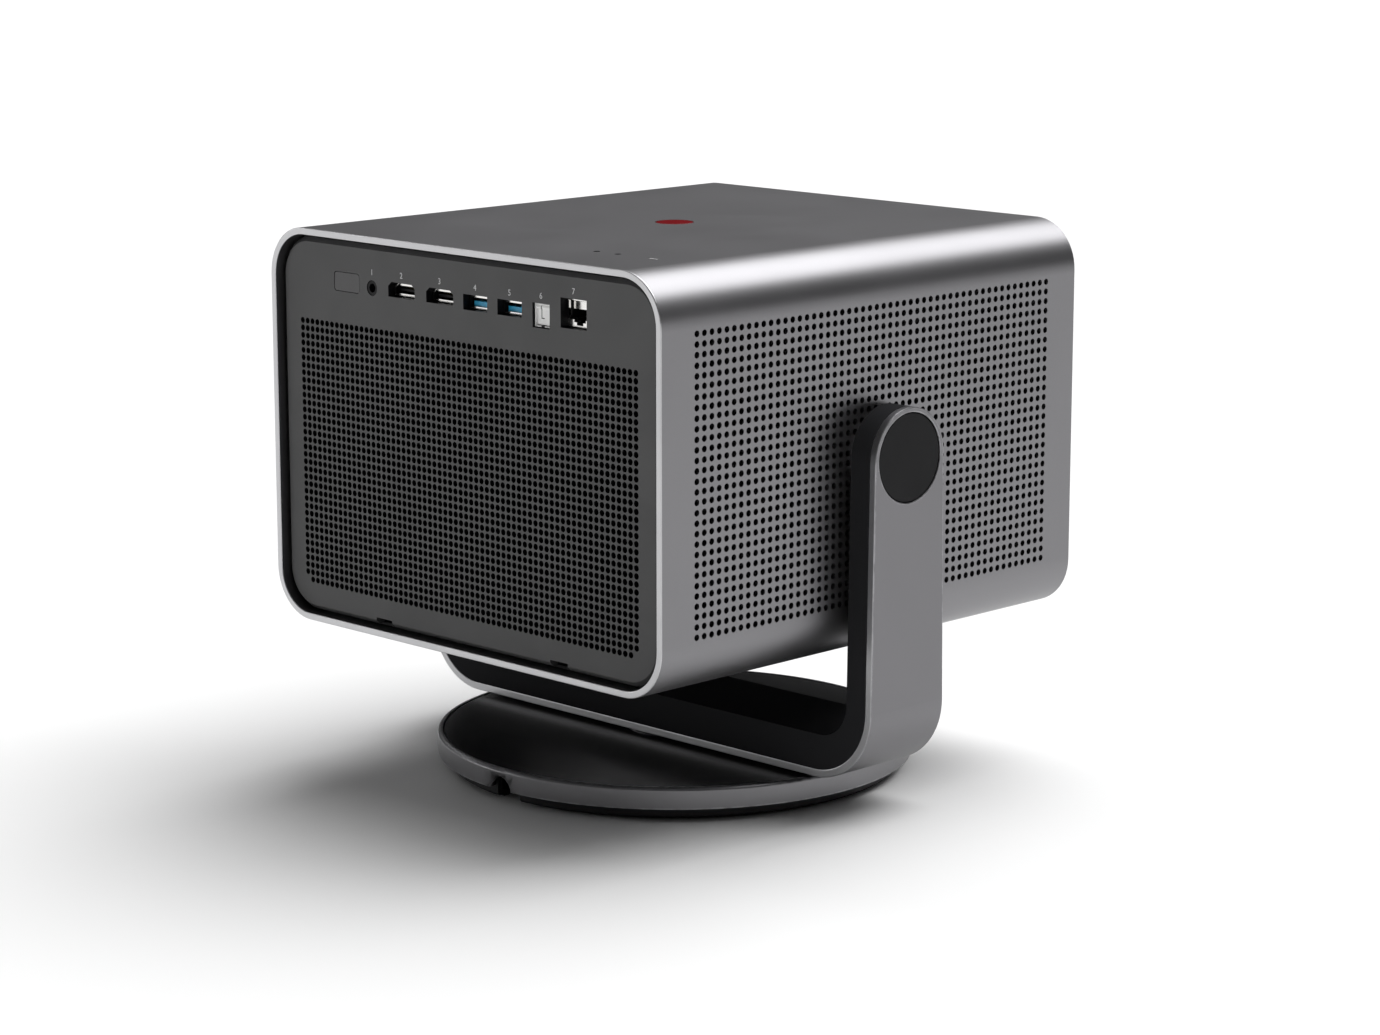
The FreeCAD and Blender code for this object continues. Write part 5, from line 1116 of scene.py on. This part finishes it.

# %% [markdown]
# A data socket has a blue tongue, which the construction model already holds. It only needs its
# black lining, four broad contacts on top of the tongue, the bright upper and lower edge and the black
# covers on its sides. Lining walls and covers are painted shade.

# %% Data sockets
DATA_SHELL = 0.42 * MM
DATA_CONTACTS, DATA_CONTACT_PITCH, DATA_CONTACT_WIDTH = 4, 2.3 * MM, 1.0 * MM
DATA_CONTACT_RISE, DATA_CONTACT_START, DATA_CONTACT_END = 0.02 * MM, 6.6 * MM, 12.4 * MM
DATA_BAR = 11.0 * MM


def make_data_inserts():
    shell = JoinedMesh()
    width, height = DATA_WIDTH - 2 * DATA_SHELL, DATA_HEIGHT - 2 * DATA_SHELL
    for x in DATA_PLACES:
        outer = box_loop(-x, DATA_Z, width, height)
        inner = box_loop(-x, DATA_Z, width - 2 * LINING_WALL, height - 2 * LINING_WALL)
        lining(shell, outer, inner, LINING_START, SOCKET_END)
        contacts(shell, -x, DATA_Z + DATA_CONTACT_RISE, DATA_CONTACTS, DATA_CONTACT_PITCH,
                 DATA_CONTACT_WIDTH, DATA_CONTACT_START, DATA_CONTACT_END)
        rim_bars(shell, -x, DATA_Z + height / 2, DATA_Z - height / 2, DATA_BAR)
        shade_covers(shell, -x, DATA_Z, width, height)
    shell.piece("data_inserts", "head", "black_plastic", SOCKET_FINISHES, solid=True)


make_data_inserts()

# %% [markdown]
# The network socket's mouth is stepped: the two narrow steps at the bottom take the latch of the
# plug. The steps are written as half widths and heights, and the other half is their mirror image.

# %% Mouth of the network socket
NETWORK_STEPS = [
    # (half width, height over the middle), from the bottom up
    (1.6 * MM, -4.46 * MM), (1.6 * MM, -3.36 * MM), (3.0 * MM, -3.36 * MM), (3.0 * MM, -2.36 * MM),
    (5.9 * MM, -2.36 * MM), (5.9 * MM, 4.46 * MM)]
NETWORK_HALF, NETWORK_TOP = NETWORK_STEPS[-1]
NETWORK_LINING = 4.6 * MM
COVER_OFFSET, COVER_RISE, COVER_SIZE = 0.3 * MM, 1.0 * MM, (0.9 * MM, 6.6 * MM)


def stepped_loop(inset):
    """Outline of the mouth, moved in by inset."""
    right = []
    for half_width, height in NETWORK_STEPS:
        right.append((half_width - inset, height - inset if height == NETWORK_TOP else height + inset))
    return moved(right + [(-a, b) for a, b in reversed(right)], -NETWORK_X, NETWORK_Z)


print("mouth of the network socket:", len(stepped_loop(0)), "points")

# %% [markdown]
# Behind that mouth is a black tube. A comb under its roof holds eight wires, each bent twice, and a
# bright shield plate covers the comb from the front.

# %% Network socket
COMB_DROP, COMB_SIZE, COMB_START, COMB_END = 1.3 * MM, (9.4 * MM, 1.4 * MM), 5.4 * MM, 7.6 * MM
SHIELD_DROP, SHIELD_SIZE, SHIELD_START, SHIELD_END = 1.8 * MM, (10.4 * MM, 2.9 * MM), 5.1 * MM, 5.35 * MM
WIRES, WIRE_PITCH, WIRE_HALF = 8, 1.02 * MM, 0.16 * MM
WIRE_PATH = [
    # (depth behind the panel's face, height over the middle of the socket)
    (5.5 * MM, NETWORK_TOP - 2.1 * MM), (6.2 * MM, NETWORK_TOP - 2.2 * MM), (11.4 * MM, -0.6 * MM),
    (12.6 * MM, -0.9 * MM)]


def wire(shell, u, v):
    """Square wire along its path, with closed ends."""
    rings = [[rear_place(a, b, depth) for a, b in box_loop(u, v + height, 2 * WIRE_HALF, 2 * WIRE_HALF)]
             for depth, height in WIRE_PATH]
    for first, second in zip(rings, rings[1:]):
        for m in range(4):
            shell.face([first[m], first[(m + 1) % 4], second[(m + 1) % 4], second[m]], 1)
    shell.face(rings[0][::-1], 1)
    shell.face(rings[-1], 1)


def make_network_insert():
    shell = JoinedMesh()
    u, v = -NETWORK_X, NETWORK_Z
    lining(shell, stepped_loop(0), stepped_loop(LINING_WALL), NETWORK_LINING, SOCKET_END)
    prism(shell, box_loop(u, v + NETWORK_TOP - COMB_DROP, *COMB_SIZE), COMB_START, COMB_END)
    prism(shell, box_loop(u, v + NETWORK_TOP - SHIELD_DROP, *SHIELD_SIZE), SHIELD_START, SHIELD_END, 2)
    # Two thin black covers over the shell's front beside the mouth: painted shade.
    for side in (1, -1):
        cover = box_loop(u + side * (NETWORK_HALF + COVER_OFFSET), v + COVER_RISE, *COVER_SIZE)
        prism(shell, cover, SOCKET_DEPTH - COVER_PROUD, SOCKET_DEPTH)
    for k in range(WIRES):
        wire(shell, u + (k - (WIRES - 1) / 2) * WIRE_PITCH, v)
    shell.piece("network_insert", "head", "black_plastic", SOCKET_FINISHES, solid=True)


make_network_insert()

# %% [markdown]
# The optical sound socket is white, with a white flap in its mouth. A narrow slit with a short foot
# runs down the flap, and a small notch for the plug's key sits in the middle of the lower edge. The
# slit is a dark thread, a hair proud of the flap: painted shade in place of the gap. The notch is a
# black block: painted shade in place of the recess. The thread has to swing with the flap, so it
# rides on the flap's body, while the notch rides on the head.

# %% Slit and notch of the optical socket
OPTICAL_U, OPTICAL_V = -OPTICAL_X, OPTICAL_Z
FLAP_FACE, HINGE_FACE = 1.5 * MM, 1.2 * MM
SLIT_HALF, SLIT_PROUD, SLIT_DEPTH = 0.17 * MM, 0.02 * MM, 0.2 * MM
SLIT_SHIFT, SLIT_TOP, SLIT_FOOT, FOOT_REACH = 1.1 * MM, 2.3 * MM, 1.1 * MM, 1.5 * MM
HINGE_SLIT_RISE, HINGE_SLIT_HEIGHT = 2.9 * MM, 1.2 * MM
NOTCH_DROP, NOTCH_SIZE = 4.05 * MM, (1.7 * MM, 0.75 * MM)
NOTCH_START, NOTCH_END = 0.95 * MM, 2.2 * MM


def make_slit():
    """Upright line with a foot on the flap, and its short start on the hinge: a dark thread of painted shade for
    the slit.
    """
    slit = JoinedMesh()
    left, top, foot = OPTICAL_U - SLIT_SHIFT, OPTICAL_V + SLIT_TOP, OPTICAL_V - SLIT_FOOT
    line = [(left + SLIT_HALF, top), (left - SLIT_HALF, top), (left - SLIT_HALF, foot - SLIT_HALF),
            (left + FOOT_REACH, foot - SLIT_HALF), (left + FOOT_REACH, foot + SLIT_HALF),
            (left + SLIT_HALF, foot + SLIT_HALF)]
    start = box_loop(left, OPTICAL_V + HINGE_SLIT_RISE, 2 * SLIT_HALF, HINGE_SLIT_HEIGHT)
    prism(slit, line, FLAP_FACE - SLIT_PROUD, FLAP_FACE + SLIT_DEPTH)
    prism(slit, start, HINGE_FACE - SLIT_PROUD, FLAP_FACE)
    slit.piece("optical_flap_slit", "optical_shutter", "black_plastic", [BLACK_MOULDING_AND_SHADE], solid=True)


def make_notch():
    notch = JoinedMesh()
    # A black block: painted shade where the notch is.
    prism(notch, box_loop(OPTICAL_U, OPTICAL_V - NOTCH_DROP, *NOTCH_SIZE), NOTCH_START, NOTCH_END)
    notch.piece("optical_key_notch", "head", "black_plastic", [BLACK_MOULDING_AND_SHADE], solid=True)


make_slit()
make_notch()

# %% [markdown]
# Numerals. The sockets are marked in small pale print. Here the marks are plain numbers, one to
# seven from left to right. Blender's text object gives the outlines. A digit is about seven tenths
# as high as the size of its letters, hence the division. The mesh is laid on the panel as a film of
# ink two hundredths of a millimetre thick.

# %% Printed numerals over the sockets
NUMERAL_HEIGHT = 2.3 * MM
HEIGHT_SHARE = 0.7
INK_HALF, INK_LIFT = 0.01 * MM, 0.005 * MM
NUMERALS = {
    # number: (place along the panel, height over the tilt axis), in millimetres
    "1": (51.7, 64.6), "2": (34.3, 64.9), "3": (12.1, 64.9), "4": (-8.1, 64.4), "5": (-27.3, 64.4),
    "6": (-44.5, 64.9), "7": (-62.0, 68.2)}


def print_numeral(text, x, z):
    curve = bpy.data.curves.new("numeral_outline", "FONT")
    curve.body = text
    curve.size = NUMERAL_HEIGHT / HEIGHT_SHARE
    curve.align_x, curve.align_y = "CENTER", "CENTER"
    curve.extrude = INK_HALF
    holder = bpy.data.objects.new("numeral_outline", curve)
    mesh = bpy.data.meshes.new_from_object(holder)
    bpy.data.objects.remove(holder)
    bpy.data.curves.remove(curve)
    turn = Matrix.Rotation(math.pi, 4, "Z") @ Matrix.Rotation(math.radians(90), 4, "X")
    mesh.transform(Matrix.Translation((x * MM, PANEL_FACE + INK_LIFT, AXIS_Z + z * MM)) @ turn)
    mesh.materials.clear()
    mesh.materials.append(INK)
    numeral = bpy.data.objects.new("numeral_" + text, mesh)
    bpy.context.scene.collection.objects.link(numeral)
    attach(numeral, "head")


for text, (x, z) in NUMERALS.items():
    print_numeral(text, x, z)
print(len(NUMERALS), "numerals")
